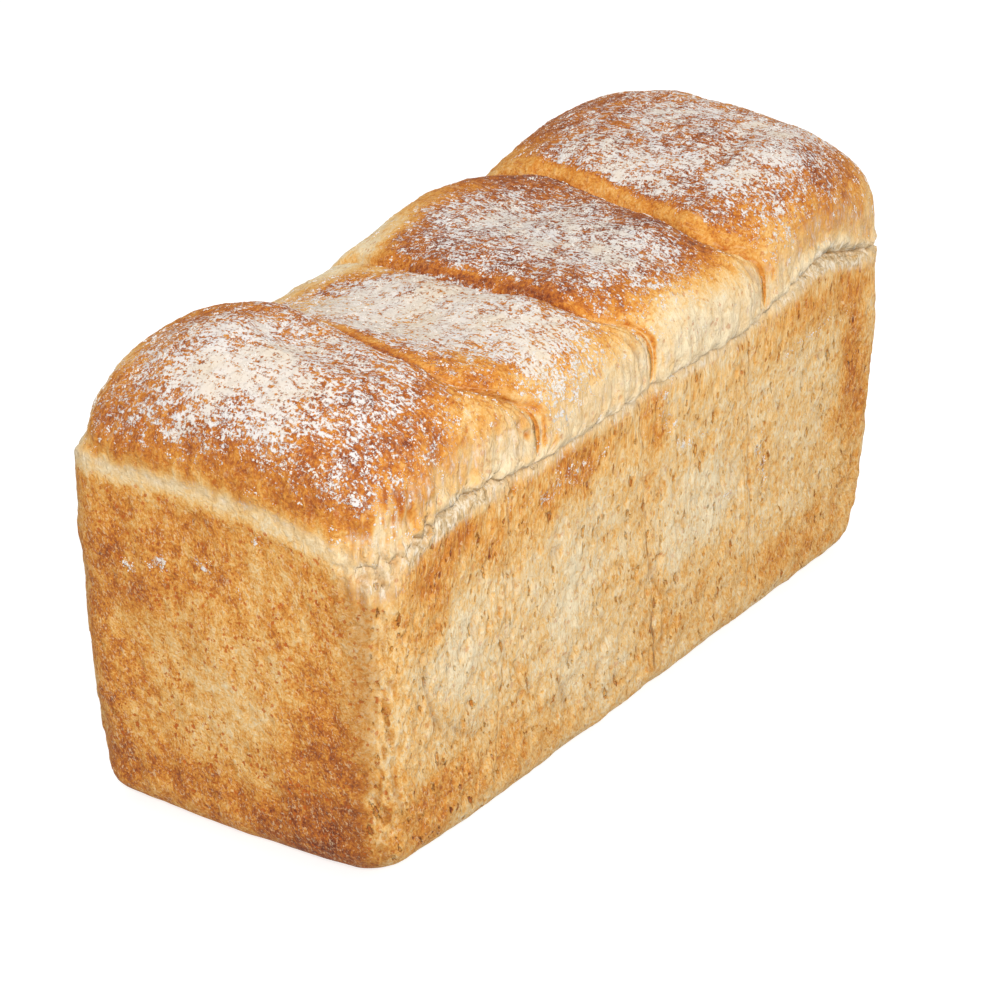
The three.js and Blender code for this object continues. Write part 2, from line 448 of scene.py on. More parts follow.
    def to_ring(self, x: Array, y: Array, ring: Array) -> tuple[Array, Array]:
        """Moves plan points in or out, away from the middle bar, to the wanted ring."""
        k = ring / self.ring_of(x, y)
        bar = self.dome[0] - self.dome[1]
        return np.where(np.abs(x) > bar, np.sign(x) * (bar + (np.abs(x) - bar) * k), x), y * k

    def pulled(self, points: Array, climb: Array) -> Array:
        """Points after the crown's pulls, which grow over the roll from nothing at the fold."""
        moved = points.copy()
        for pull in self.pulls:
            share = mound(np.hypot(points[:, 0] - pull.x, points[:, 1] - pull.y), pull.radius)
            moved[:, :2] += (share * ramp(3, 4, climb))[:, None] * np.array([pull.along, pull.across])
        return moved

    def section_power(self, along: Array, across: Array, valley: Array) -> Array:
        """Power of the superellipse that is the crown's section, which says how square it is.

        It is firm at the front and the far end, slack at the near back and slackest in the seams.

        Args:
            along: Places along the loaf.
            across: Places across the loaf.
            valley: How far the places lie into a seam's valley, 0 to 1.

        Returns:
            The power.
        """
        front = np.clip(0.5 - 0.75 * across, 0, 1)
        far = np.clip(2 * along - 1, 0, 1)
        slack = np.clip(-2 * along - 1, 0, 1) * np.clip(across + 0.5, 0, 1)
        soft = lerp(self.soft_power, self.slack_power, slack)
        return lerp(lerp(soft, self.firm_power, 1 - (1 - front) * (1 - far)), self.seam_power, valley)

    def dome_height(self, along: Array, x: Array, y: Array) -> Array:
        """Height of the crown over plan points.

        The fold's height, the hanging roll and the crown, which is crown_height times the lobe's share
        times (1 - ring^p)^(1/p), lowered in the seams' valleys, less the sag of the lobe's middle.

        Args:
            along: Grid lines of the points.
            x: X of the points.
            y: Y of the points.

        Returns:
            Height above the foot.
        """
        across = np.clip(y / self.dome[1], -1, 1)
        at = self.lobe_at(along)
        high = np.stack([lerp(lobe.back, lobe.front, self.front_share(across)) for lobe in self.lobes])
        own, before, after = (
            np.take_along_axis(high, np.broadcast_to(index, x.shape)[None], 0)[0]
            for index in (at.lobe, at.seam, at.seam + 1)
        )
        power = self.section_power(x / self.dome[0], across, at.valley)
        section = np.maximum(1 - self.ring_of(x, y) ** power, 0) ** (1 / power)
        crown = self.crown_height * section * lerp(own, (before + after) / 2, at.valley)
        for swell in self.swells:
            crown += swell.height * mound(np.hypot(x - swell.x, y - swell.y), swell.radius) * section
        depth = np.array([seam.depth for seam in self.seams])[at.seam]
        sag = np.array([lobe.sag for lobe in self.lobes])[at.lobe]
        middle = (1 - (2 * at.share - 1) ** 2) ** 2
        sunken = sag * middle * np.maximum(1 - (across / self.sag_reach) ** 2, 0) ** 2
        return self.fold_height(x, y) + self.underside + crown * (1 - depth * at.valley) - sunken

    def side(self, along: Array, across: Array, band: Band, share: Array) -> Array:
        """Points of the side skin.

        Each band's height and inward tuck follow a quarter turn: the foot curls in, the lip rolls into
        the fold, the underside of the crown rolls out of it, and the shoulder climbs the dome. On the
        long walls the fold is a slit, and round the ends it eases away (sin^2).

        Args:
            along: Columns' places along the loaf, on the edge of the square.
            across: Columns' places across it.
            band: The band.
            share: Rows' shares up the band, as a column of an array.

        Returns:
            An array of points, one row of the grid after another.
        """
        sine, cosine = np.sin(share * math.pi / 2), np.cos(share * math.pi / 2)
        flat = np.zeros(np.broadcast(share, along).shape)
        rim_x = self.line_x(along, across, self.rim_height, wall=True)
        rim = self.fold_height(rim_x, across * self.rim[1])
        fold, slit = self.fold_depth(rim_x, across), self.slit(across)
        rolled = lerp(sine**2, sine, slit)
        roll = flat + {Band.SHOULDER: 1.0, Band.ROLL: rolled}.get(band, 0.0)
        lip = self.lip_height
        height, tuck = {
            Band.FOOT: (self.foot_radius * (1 - cosine), self.foot_radius * (1 - sine)),
            Band.WALL: (lerp(self.foot_radius, rim - lip, share), 0.0),
            Band.LIP: (
                rim - lip + lip * lerp(share, sine, slit),
                fold * lerp(sine**2, 1 - cosine, slit),
            ),
            Band.ROLL: (
                rim + self.underside * lerp(share, 1 - cosine, slit),
                fold * (1 - rolled) - self.overhang * rolled * slit,
            ),
            Band.SHOULDER: (rim, 0.0),
        }[band]
        height, tuck = flat + height, flat + tuck
        leaning = np.minimum(height, self.rim_height)
        climb = np.clip((height - self.foot_radius) / (rim - self.foot_radius), 0, 1)
        out = self.flare * leaning - tuck + self.wall_swell * np.sin(math.pi * climb)
        grid_x = self.line_x(along, across, leaning, wall=True)
        radius = self.corner_radius - (tuck if band is Band.FOOT else 0)
        half = np.stack([self.half_length + out, self.half_width + out])
        wall_x, wall_y = self.round_corners(grid_x * half[0] / self.rim[0], across * half[1], half, radius)
        groove = self.wall_groove(grid_x, across, leaning) * np.sin(math.pi / 2 * climb)
        wall_y = wall_y - np.where(np.abs(across) == 1, across * groove, 0)

        at = self.lobe_at(along)
        ring = flat + 1.0
        if band is Band.SHOULDER:
            power = self.section_power(along, across, at.valley)
            ring = np.cos(share * self.shoulder_turn) ** (2 / power)
        dome_x = self.line_x(along, across * ring, self.rim_height) * self.dome[0] / self.rim[0]
        square = self.round_corners(dome_x, flat + across * self.dome[1], self.dome, self.corner_radius)
        dome_x, dome_y = self.to_ring(*square, ring)
        if band is Band.SHOULDER:
            height = self.dome_height(flat + along, dome_x, dome_y)
        else:
            height = height + (self.fold_height(dome_x, dome_y) - rim) * roll
        pinch = np.array([seam.pinch for seam in self.seams])[at.seam] * at.valley**2
        dome_y = dome_y - np.sign(dome_y) * pinch * (np.abs(dome_y) / self.dome[1]) ** 6 * roll
        return np.stack([lerp(wall_x, dome_x, roll), lerp(wall_y, dome_y, roll), height], -1)

    def top(self, along: Array, across: Array, edge: dict[str, Array]) -> Array:
        """Points of the top inside the shoulder.

        The plan is the blend of the four edge curves (a Coons patch), bent along X so that every grid
        line follows the seams, and the height is the crown's.

        Args:
            along: Grid lines along X, a column.
            across: Grid lines along Y, a row.
            edge: The edge curves: front and back by grid line along X, near and far along Y.

        Returns:
            An array of points by line along X and line along Y.
        """
        u, v = (along[..., None] + 1) / 2, (across[..., None] + 1) / 2
        front, back = edge["front"], edge["back"]
        points = (
            lerp(edge["near"][None], edge["far"][None], u)
            + lerp(front[:, None], back[:, None], v)
            - lerp(lerp(front[0], front[-1], u), lerp(back[0], back[-1], u), v)
        )
        valley = self.lobe_at(along).valley
        inner = (
            side * np.cos(self.shoulder_turn) ** (2 / self.section_power(along, side, valley))
            for side in (-1, 1)
        )
        ends = (self.line_x(along, place, self.rim_height) for place in inner)
        grid_x = self.line_x(along, points[..., 1] / self.dome[1], self.rim_height)
        points[..., 0] += grid_x - lerp(*ends, v[..., 0])
        points[..., 2] = self.dome_height(
            np.broadcast_to(along, grid_x.shape), points[..., 0], points[..., 1]
        )
        return points


@dataclass
class SkinGrid:
    """The loaf's skin as one set of points, with the numbers of the points in each part of the grid.

    Rows of sides run up from the foot's edge to the end of the shoulder, and columns run round the
    loaf, anticlockwise from above, from the near front corner.
    """

    lines_per_lobe: int = 76
    lines_across: int = 128
    band_rows: tuple[int, ...] = (9, 76, 9, 8, 42)

    def __post_init__(self) -> None:
        """Numbers the points."""
        nx, ny = 4 * self.lines_per_lobe, self.lines_across
        self.nx, self.ny = nx, ny
        self.rows = sum(self.band_rows)
        self.fold_row = sum(self.band_rows[: Band.ROLL.value])
        columns = 2 * (nx + ny)
        self.sides = np.arange((self.rows + 1) * columns).reshape(-1, columns)
        self.top = np.zeros((nx + 1, ny + 1), np.int64)
        inner = (nx - 1) * (ny - 1)
        self.top[1:-1, 1:-1] = (self.sides.size + np.arange(inner)).reshape(nx - 1, -1)
        self.size = self.sides.size + inner
        rim = self.sides[-1]
        self.top[:, 0] = rim[: nx + 1]
        self.top[-1, :] = rim[nx : nx + ny + 1]
        self.top[:, -1] = rim[nx + ny : 2 * nx + ny + 1][::-1]
        self.top[0, 1:] = rim[2 * nx + ny :][::-1]

    def edge_places(self) -> tuple[Array, Array]:
        """The columns' places along and across, on the edge of the square."""
        x = np.linspace(-1, 1, self.nx + 1)[:-1]
        y = np.linspace(-1, 1, self.ny + 1)[:-1]
        along = np.concatenate([x, np.ones(self.ny), -x, -np.ones(self.ny)])
        across = np.concatenate([-np.ones(self.nx), y, np.ones(self.nx), -y])
        return along, across

    def side_quads(self, start: int, end: int) -> Array:
        """Quads of the sides between two rows."""
        return np.concatenate([ring_quads(self.sides[r], self.sides[r + 1]) for r in range(start, end)])

    def top_quads(self) -> Array:
        """Quads of the top."""
        t = self.top
        return np.stack([t[:-1, :-1], t[1:, :-1], t[1:, 1:], t[:-1, 1:]], -1).reshape(-1, 4)


def ring_quads(low: Array, high: Array) -> Array:
    """Quads between two closed rows of points, the first below or outside the second."""
    return np.stack([low, np.roll(low, -1), np.roll(high, -1), high], -1)


@dataclass
class Skin:
    """The loaf's skin in millimetres, fitted to the solid's box, and what is known of each point.

    Climb counts bands up from the foot. The stem of a crown point is the fold's point below it.
    """

    grid: SkinGrid
    form: LoafForm
    box: tuple[Array, Array]

    def __post_init__(self) -> None:
        """Carries the grid to its place and stretches it by a hair to fit the box."""
        grid, form = self.grid, self.form
        along, across = grid.edge_places()
        points = np.zeros((grid.size, 3))
        self.along, self.climb = np.zeros((2, grid.size))
        row = 0
        for band, rows in zip(Band, grid.band_rows):
            count = rows + (band is Band.SHOULDER)
            share = np.arange(count)[:, None] / rows
            numbers = grid.sides[row : row + count]
            points[numbers] = form.side(along, across, band, share)
            self.climb[numbers] = band.value + share
            row += rows
        self.along[grid.sides] = along
        top, inside = grid.top, grid.top[1:-1, 1:-1]
        ends = {"front": top[:, 0], "back": top[:, -1], "near": top[0], "far": top[-1]}
        edge = {name: points[numbers] for name, numbers in ends.items()}
        x, y = np.linspace(-1, 1, grid.nx + 1), np.linspace(-1, 1, grid.ny + 1)
        points[inside] = form.top(x[:, None], y[None], edge)[1:-1, 1:-1]
        self.along[inside] = x[1:-1, None]
        self.climb[inside] = len(Band)
        points = form.pulled(points, self.climb)
        low, high = points.min(0), points.max(0)
        self.points = (points - low) / (high - low) * (self.box[1] - self.box[0]) + self.box[0]
        self.stem = self.points.copy()
        self.stem[grid.sides[grid.fold_row :]] = self.points[grid.sides[grid.fold_row]]
        self.normals = self.find_normals()

    def quads(self) -> Array:
        """Every quad of the skin except the underside."""
        return np.concatenate([self.grid.side_quads(0, self.grid.rows), self.grid.top_quads()])

    def find_normals(self) -> Array:
        """Outward normals: the sum of the quads' cross products at each point, made unit long."""
        quads = self.quads()
        p = self.points[quads]
        cross = np.cross(p[:, 2] - p[:, 0], p[:, 3] - p[:, 1])
        size = self.grid.size
        normals = sum(
            np.stack([np.bincount(quads[:, k], c, size) for c in cross.T], -1) for k in range(4)
        )
        foot = self.grid.sides[0]
        normals[foot] += np.array([0, 0, -1]) * np.linalg.norm(normals[foot], axis=-1, keepdims=True)
        return unit(normals)


def facing(normals: Array, axis: int, sign: int) -> Array:
    """How much points face one way along an axis, from 0 to 1."""
    flat = np.hypot(normals[:, 0], normals[:, 1]) + 1e-6
    return ramp(0.45, 0.85, sign * normals[:, axis] / flat)


@dataclass(frozen=True)
class Patch:
    """A soft oval on one face of the loaf: middle, half sizes along and up, strength and lean."""

    u: float
    v: float
    ru: float
    rv: float
    strength: float
    lean: float = 0

    def on(self, u: Array, v: Array) -> Array:
        """Strength at each place: a bell of the third power, so the middle is even."""
        du, dv = u - self.u - self.lean * (v - self.v), v - self.v
        far = (du / self.ru) ** 2 + (dv / self.rv) ** 2
        return self.strength * np.exp(-(far**1.5))


def patches(*rows: Row) -> tuple[Patch, ...]:
    """Patches, each from a row of its numbers."""
    return tuple(Patch(*row) for row in rows)


@dataclass(frozen=True)
class Crease:
    """A narrow crease on the front wall, along a curve through three places (a quadratic Bezier)."""

    start: tuple[float, float]
    middle: tuple[float, float]
    end: tuple[float, float]
    width: float
    depth: float
    steps: int = 40

    def on(self, u: Array, v: Array) -> Array:
        """Closeness to the curve, 1 on it: a bell of the distance to the nearest of its steps."""
        t = np.linspace(0, 1, self.steps)
        curve = np.outer((1 - t) ** 2, self.start)
        curve += np.outer(2 * t * (1 - t), self.middle) + np.outer(t**2, self.end)
        near, taper = np.full(u.shape, np.inf), np.zeros(u.shape)
        for place, share in zip(curve, t):
            far = np.hypot(u - place[0], v - place[1])
            taper = np.where(far < near, math.sin(math.pi * (0.08 + 0.84 * share)), taper)
            near = np.minimum(near, far)
        return mound(near, self.width) * taper


@dataclass
class Survey:
    """Where each point of a skin lies and which way it faces, as the skin is when this is made."""

    skin: Skin

    def __post_init__(self) -> None:
        """Works out places in millimetres, height over the fold, and shares of facing each way."""
        skin, form = self.skin, self.skin.form
        self.p, self.n, self.climb = skin.points.copy(), skin.normals, skin.climb
        self.x, self.y, self.z = self.p.T
        self.up = self.z - form.fold_height(self.x, self.y)
        self.front, self.back = facing(self.n, 1, -1), facing(self.n, 1, 1)
        self.near, self.far = facing(self.n, 0, -1), facing(self.n, 0, 1)
        self.long = np.maximum(self.front, self.back)
        self.at = form.lobe_at(skin.along)
        lines = form.stations(self.y / form.dome[1], np.full(len(self.p), form.rim_height))
        self.aside = self.x - np.take_along_axis(lines, self.at.seam[None] + 1, 0)[0]


@dataclass
class Relief:
    """The roughness of the baked skin, as a distance out along the normal of each point.

    Every part gives the lift of each point in millimetres, and its dint: how deep it lies in a pore,
    crease or tear, from 0 to 1. The dint darkens the crust's colour: painted shade in the hollows.
    """

    grain: Grain
    creases: tuple[Crease, ...] = (
        Crease((-124, 72), (-121, 50), (-107, 36), 0.9, 0.8),
        Crease((-113, 48), (-104, 36), (-94, 33), 0.8, 0.6),
        Crease((-136, 46), (-135, 32), (-130, 20), 0.9, 0.6),
        Crease((-8, 62), (-4, 48), (3, 38), 0.9, 1.0),
        Crease((2, 38), (8, 36), (12, 36), 0.8, 0.8),
        Crease((4, 34), (5, 24), (6, 12), 0.8, 0.6),
        Crease((-56, 36), (-50, 26), (-46, 16), 0.9, 0.7),
        Crease((-77, 111), (-79, 104), (-83, 99), 0.9, 0.9),
        Crease((-80, 134), (-73, 130), (-72, 121), 0.9, 0.5),
        Crease((-18, 133), (-14, 129), (-12, 119), 0.9, 0.5),
        Crease((-23, 134), (-20, 129), (-18, 121), 0.8, 0.6),
        Crease((44, 136), (50, 131), (52, 121), 0.9, 0.8),
    )
    holes: tuple[tuple[float, float], ...] = ((-78.5, 126.5), (-76, 122.5), (-81, 119.5), (-128, 117.5))
    hole_radius: float = 1.3
    hole_depth: float = 1.6
    knot_place: Row = (-141, -55, 106)
    knot_size: Row = (11, 11, 13)
    raised_foot: float = 3.2

    @staticmethod
    def upright(points: Array) -> Array:
        """Wall places sheared so that upright grain leans a little, more towards the foot."""
        lean = points.copy()
        height = points[:, 2]
        lean[:, 0] += (0.1 + 0.25 * (1 - np.clip(height / WALL_HEIGHT, 0, 1))) * height
        lean[:, 1] -= 0.12 * height
        return lean

    def walls(self, s: Survey) -> tuple[Array, Array]:
        """Swells, furrows, pebbles and pores of the walls, and the front wall's creases and holes.

        Args:
            s: Survey of the smooth skin.

        Returns:
            Lift and dint.
        """
        soft, rough, spots = self.grain.soft, self.grain.rough, self.grain.spots
        on_wall = window(0.3, 1.1, 1.9, 2.4, s.climb)
        lean = self.upright(s.p)
        broad = 0.6 * soft(s.p / 46, 1) + 0.5 * soft(s.p / 19, 2) + 0.3 * soft(lean / [8, 8, 13], 14)
        wide, narrow = soft(lean / [6, 6, 20], 3), soft(lean / [3.1, 3.1, 9], 12)
        furrows = -0.3 * mound(wide, 0.22) - 0.3 * mound(narrow, 0.2) + 0.2 * narrow
        pebble = 0.34 * rough(lean / [2.4, 2.4, 3.4], 4, 2)
        long_pores, round_pores = spots(lean / [2.6, 2.6, 6.4], 40, 0.36), spots(s.p / 2.6, 60, 0.1)
        pores = np.maximum(long_pores * (0.3 + 0.7 * s.long), 0.8 * round_pores)
        lift = on_wall * (broad + (furrows + pebble) * (0.15 + 0.85 * s.long) - 1.5 * pores)
        dint = 0.9 * pores * on_wall
        for crease in self.creases:
            close = crease.on(s.x, s.z) * s.front
            lift -= crease.depth * close
            dint = np.maximum(dint, close)
        for x, z in self.holes:
            close = mound(np.hypot(s.x - x, s.z - z), self.hole_radius) * s.front
            lift -= self.hole_depth * close
            dint = np.maximum(dint, close)
        foot = window(0.1, 0.9, 1.0, 1.4, s.climb)
        return lift + foot * 0.7 * soft(s.p / 9, 11), dint

    def crown(self, s: Survey) -> Array:
        """Threads over the fold, dips and stretch lines at the seams, swells, blisters and a dimple.

        Args:
            s: Survey of the smooth skin.

        Returns:
            Lift.
        """
        soft = self.grain.soft
        on_crown = ramp(3.2, 4.1, s.climb)
        fibre = ramp(2.9, 3.5, s.climb) * (1 - ramp(9, 22, s.up)) * (0.25 + 0.75 * s.front)
        strand = np.stack([s.skin.stem[:, 0], s.skin.stem[:, 1], s.up / 4], -1)
        near_front = 1 + 0.9 * mound(s.x + 108, 30)
        lift = fibre * near_front * (0.6 * soft(strand / 2.2, 5) + 0.5 * soft(strand / 5.5, 6))
        shoulder = on_crown * window(0, 5, 26, 38, s.up) * s.front
        lift -= shoulder * (mound(s.aside, 2) + 0.8 * mound(s.aside, 8))
        stretch = window(-19, -13, -3, -1, s.aside) * ramp(2, 6, s.up) * s.front
        lines = np.stack([s.aside / 2.6, s.up / 16, np.zeros(len(s.p))], -1)
        lift += 0.55 * stretch * soft(lines, 13)
        blisters = self.grain.rough(s.p / 3, 9, 2)
        lift += on_crown * (0.8 * soft(s.p / 30, 7) + 0.4 * soft(s.p / 11, 8) + 0.34 * blisters)
        dimple = mound(s.y + 26 - 0.2 * (s.x - 88), 4.5) * mound(s.x - 88, 16)
        return lift - 2.4 * dimple * ramp(20, 30, s.up)

    def fold(self, s: Survey) -> tuple[Array, Array]:
        """Torn edges of the fold, a knot of threads at the near front corner, and holes in the tear.

        Args:
            s: Survey of the smooth skin.

        Returns:
            Lift and dint.
        """
        rough = self.grain.rough
        near_fold = window(1.9, 2.5, 3.3, 4.15, s.climb)
        open_fold = mound(s.x + 112, 30) + mound(s.x - 100, 38)
        corner = mound(np.hypot(s.x + 141, s.y + 55), 11)
        torn = near_fold * np.maximum(s.front * (0.4 + 0.6 * open_fold), corner)
        diagonal = s.p @ np.array([[1, 0, 0.25], [0, 1, 0], [-0.5, 0, 1]])
        ragged = rough(diagonal / [3.4, 3.4, 2.0], 10, 3)
        lift = torn * 2.3 * ragged + near_fold * (1 - s.front) * 0.12 * ragged
        knot = mound(np.linalg.norm((s.p - self.knot_place) / self.knot_size, axis=1), 1)
        strands = rough(s.p / [2.6, 2.6, 8], 15, 3)
        lift += knot * (2.6 * strands + 1.2)
        hole = self.grain.spots(s.p / [4.5, 4.5, 2.4], 80, 0.45) * torn
        return lift - 1.5 * hole, np.maximum(hole, knot * ramp(0.1, 0.5, -strands))

    def apply(self, skin: Skin) -> Array:
        """Roughens the skin, and raises the near front corner of its foot a little.

        Args:
            skin: The smooth skin, which is moved out and in along its normals.

        Returns:
            The dint of each point.
        """
        s = Survey(skin)
        (wall_lift, wall_dint), (fold_lift, fold_dint) = self.walls(s), self.fold(s)
        skin.points += s.n * (wall_lift + self.crown(s) + fold_lift)[:, None]
        corner = mound(np.hypot(s.x + 140, s.y + 55), 30) * (1 - ramp(0, 40, s.z))
        skin.points[:, 2] = np.maximum(skin.points[:, 2] + self.raised_foot * corner, skin.box[0][2])
        skin.normals = skin.find_normals()
        return np.maximum(wall_dint, fold_dint)


@dataclass
class Bake:
    """How brown, pale and floury each point of a roughened skin is, and where shade is painted.

    Patches on long walls go by X and height, on end walls by Y and height, on the crown's shoulders by
    X and height over the fold, and on its top by X and Y. Brown counts from 0, pale, to 1, dark.
    """

    grain: Grain
    skin: Skin
    # The third of these, under the fold of the second lobe, is partly browner crust and partly painted
    # shade under the crown's overhang.
    front_brown_and_shade: tuple[Patch, ...] = patches(
        (-108, 99, 26, 9, 0.34, -0.3), (-122, 84, 16, 10, 0.14), (-48, 101, 28, 11, 0.3),
        (-4, 100, 7, 14, 0.2), (92, 104, 34, 9, 0.2), (120, 72, 11, 36, 0.29),
        (-116, 20, 24, 12, 0.32, 0.6), (-68, 16, 24, 10, 0.16), (30, 20, 36, 11, 0.08),
        (74, 18, 12, 9, 0.2), (108, 18, 30, 13, 0.18), (3, 28, 5, 16, 0.05),
    )
    front_pale: tuple[Patch, ...] = patches(
        (-105, 62, 18, 22, 0.2), (-52, 66, 26, 24, 0.18), (-36, 34, 22, 12, 0.12),
        (24, 60, 24, 16, 0.22), (86, 74, 16, 24, 0.06),
    )
    # The last three of these are painted shade: each end wall darker towards one corner and towards the
    # foot.
    end_brown_and_shade: tuple[Patch, ...] = patches(
        (20, 92, 34, 20, 0.1), (42, 50, 12, 60, 0.12), (-51, 44, 9, 70, 0.04), (0, 10, 60, 16, 0.15),
        (-36, 26, 22, 40, 0.27),
    )
    end_pale: tuple[Patch, ...] = patches((-8, 52, 26, 26, 0.14), (-30, 92, 14, 12, 0.06))
    shoulder_brown: tuple[Patch, ...] = patches(
        (-126, 18, 18, 14, 0.22), (-104, 3, 18, 5, 0.1), (100, 13, 36, 14, 0.33),
        (-100, 15, 26, 10, 0.2), (-46, 14, 30, 12, 0.05),
    )
    shoulder_pale: tuple[Patch, ...] = patches(
        (-84, 6, 12, 9, 0.06), (18, 14, 28, 11, 0.16), (-44, 12, 20, 9, 0.04), (88, 3, 26, 4, 0.3),
        (126, 20, 14, 9, 0.08),
    )
    rear_pale: tuple[Patch, ...] = patches((-2, 47, 34, 18, 0.42), (-44, 34, 14, 14, -0.18))
    dustings: tuple[Patch, ...] = patches(
        (-110, 0, 25, 45, 0.92), (-136, 0, 15, 52, 0.68), (-114, -46, 28, 14, 0.34),
        (-55, -4, 28, 48, 1.32), (-50, -50, 27, 13, 0.55), (10, -4, 37, 45, 0.98),
        (6, -42, 32, 14, 0.32), (64, -4, 14, 44, 0.32), (84, -4, 34, 54, 0.72), (123, -4, 24, 54, 0.5),
        (96, -42, 38, 19, 0.42), (82, -29, 16, 3, -0.26),
    )
    smears: tuple[Patch, ...] = patches(
        (-52, 99, 20, 2.6, 0.5), (-80, 104, 3, 3.5, 0.6), (4, 102, 3.5, 9, 0.5),
        (10, 86, 6, 1.8, 0.6, 1.2), (28, 86, 9, 1.5, 0.55, -2.0), (62.5, 62, 2, 13, 0.6),
        (66, 34, 2.5, 4, 0.5), (92, 96, 22, 2.2, 0.45), (40, 55, 5, 3, 0.45),
    )
    end_smears: tuple[Patch, ...] = patches(
        (21, 91, 3, 2.4, 1.0), (32, 86, 2.4, 1.4, 0.8), (3, 90, 4.5, 1.5, 0.8), (-12, 90, 3, 1.5, 0.7),
        (-17, 104, 1.3, 1.3, 0.8),
    )
    wander: float = 5
    front_wall: float = 0.3
    rear_wall: float = 0.32
    end_wall: float = 0.5
    wall_corner: float = 0.43
    lobe_brown: Row = (0.72, 0.7, 0.86, 0.78)
    heights: Row = (0, 5, 12, 20, 27)
    shoulder_levels: Row = (0.14, 0.17, 0.22, 0.34, 0.5)
    end_heights: Row = (0, 4, 8, 14, 24)
    end_levels: Row = (0.16, 0.44, 0.64, 0.74, 0.73)
    darkest_crown: float = 0.92
    crack_share: Row = (0.35, 1.0, 0.35)
    band_share: Row = (1.0, 0.4, 0.0)
    core_brown: Row = (0.16, 0.06, 0.16)
    band_brown: float = 0.5
    most_flour: float = 0.86

    def __post_init__(self) -> None:
        """Surveys the skin, and finds what several of the shares need."""
        s = self.s = Survey(self.skin)
        self.wall, self.crown = 1 - ramp(2.1, 2.9, s.climb), ramp(3.0, 4.2, s.climb)
        self.moved = [self.wander * self.grain.soft(s.p / 19, salt) for salt in (20, 21)]
        # Painted shade: a strip of the near end wall by its front corner, where less light falls.
        self.corner_shade = self.wall * s.near * mound(s.y + 51, 7)
        edge = self.grain.soft(self.skin.stem / 5, 23) * (1 - ramp(20, 34, s.up))
        self.uneven = s.up + 2.6 * edge
        high = ramp(8, 18, s.up)
        self.golden = (s.at.seam == 2) * window(-1, 1, 5, 8, s.aside) * high
        self.narrow = np.array(self.band_share)[s.at.seam] * window(-1, 1, 2, 5, s.aside) * high
        self.rear = ramp(30, 44, s.y) * window(-4, 2, 12, 22, s.aside)
        self.core = mound(s.aside, 1.3) * ramp(10, 20, s.up)

    def total(self, rows: tuple[Patch, ...], u: Array, v: Array) -> Array:
        """Sum of patches at places that wander a little."""
        return sum(patch.on(u + self.moved[0], v + self.moved[1]) for patch in rows)

    def wall_bake(self) -> Array:
        """Blends the walls' own browns, and some painted shade, by how much a point faces each way.

        Returns:
            Brown of the walls.
        """
        s = self.s
        walls = (
            (s.front, self.front_wall, self.front_brown_and_shade, self.front_pale, s.x),
            (s.back, self.rear_wall, self.front_brown_and_shade, self.front_pale, -s.x),
            (s.near, self.end_wall, self.end_brown_and_shade, self.end_pale, s.y),
            (s.far, self.end_wall, self.end_brown_and_shade, self.end_pale, -s.y),
        )
        facings = s.front + s.back + s.near + s.far
        corner = np.maximum(1 - facings, 0)
        bake = corner * self.wall_corner
        for weight, level, brown, pale, along in walls:
            bake += weight * (level + self.total(brown, along, s.z) - self.total(pale, along, s.z))
        bake /= facings + corner
        bake += 0.1 * self.grain.rough(s.p / [9, 9, 14], 22)
        # Painted shade: the corner strip is paled here and darkened through the dint's shade colour.
        return bake - 0.12 * self.corner_shade - 0.36 * s.near * mound(s.up - 1.2, 3.2)

    def crown_bake(self) -> Array:
        """Rises from pale over the fold to each lobe's own brown on the top.

        Returns:
            Brown of the crown.
        """
        s, rough = self.s, self.grain.rough
        top = np.array(self.lobe_brown)[s.at.lobe] - 0.1 * ramp(98, 128, s.x)
        side = np.interp(self.uneven, self.heights, self.shoulder_levels)
        end = np.interp(self.uneven, self.end_heights, self.end_levels)
        bake = lerp(lerp(side, end, np.maximum(s.near, 0.6 * s.far)), top, ramp(20, 34, self.uneven))
        bake += 0.1 * rough(s.p / 16, 24)
        sinew = rough(s.p / [2.4, 2.4, 9], 31, 3) * (1 - ramp(20, 32, s.up))
        bake += 0.2 * sinew * s.front * (0.35 + 0.65 * mound(s.x + 104, 26))
        brown, pale = (self.total(rows, s.x, s.up) for rows in (self.shoulder_brown, self.shoulder_pale))
        bake += s.front * (brown - pale)
        band = np.clip(0.85 * self.golden + 0.6 * self.narrow + 0.6 * self.rear, 0, 0.9)
        bake = lerp(bake, self.band_brown, band) - self.total(self.rear_pale, s.x, s.y)
        return np.minimum(bake + np.array(self.core_brown)[s.at.seam] * self.core, self.darkest_crown)

    def cream(self) -> Array:
        """Finds torn crumb: along the fold, wide in the lip's open parts, and up the long shoulders.

        Returns:
            Share of cream.
        """
        s, soft, rough = self.s, self.grain.soft, self.grain.rough
        fold_line = 0.6 * window(-7, -2.5, 2, 6.5, s.up)
        end_line = 0.6 * mound(s.up - 1.0 - 1.5 * soft(s.p / 14, 30), 2.5)
        open_fold = np.clip(mound(s.x + 112, 32) + mound(s.x - 100, 40), 0, 1)
        wide_lip = window(-10, -4, 1, 5, s.up) * open_fold * s.front
        corner = 0.75 * mound(np.hypot(s.x + 141, s.y + 55), 10) * window(-16, -5, 6, 12, s.up)
        cream = np.maximum(np.maximum(lerp(end_line, fold_line, s.long), wide_lip), corner)
        cream *= np.clip(0.85 + 0.5 * rough(s.p / [4, 4, 2.5], 25), 0, 1)
        return np.maximum(cream, 0.42 * self.crown * s.long * (1 - ramp(10, 26, self.uneven)))

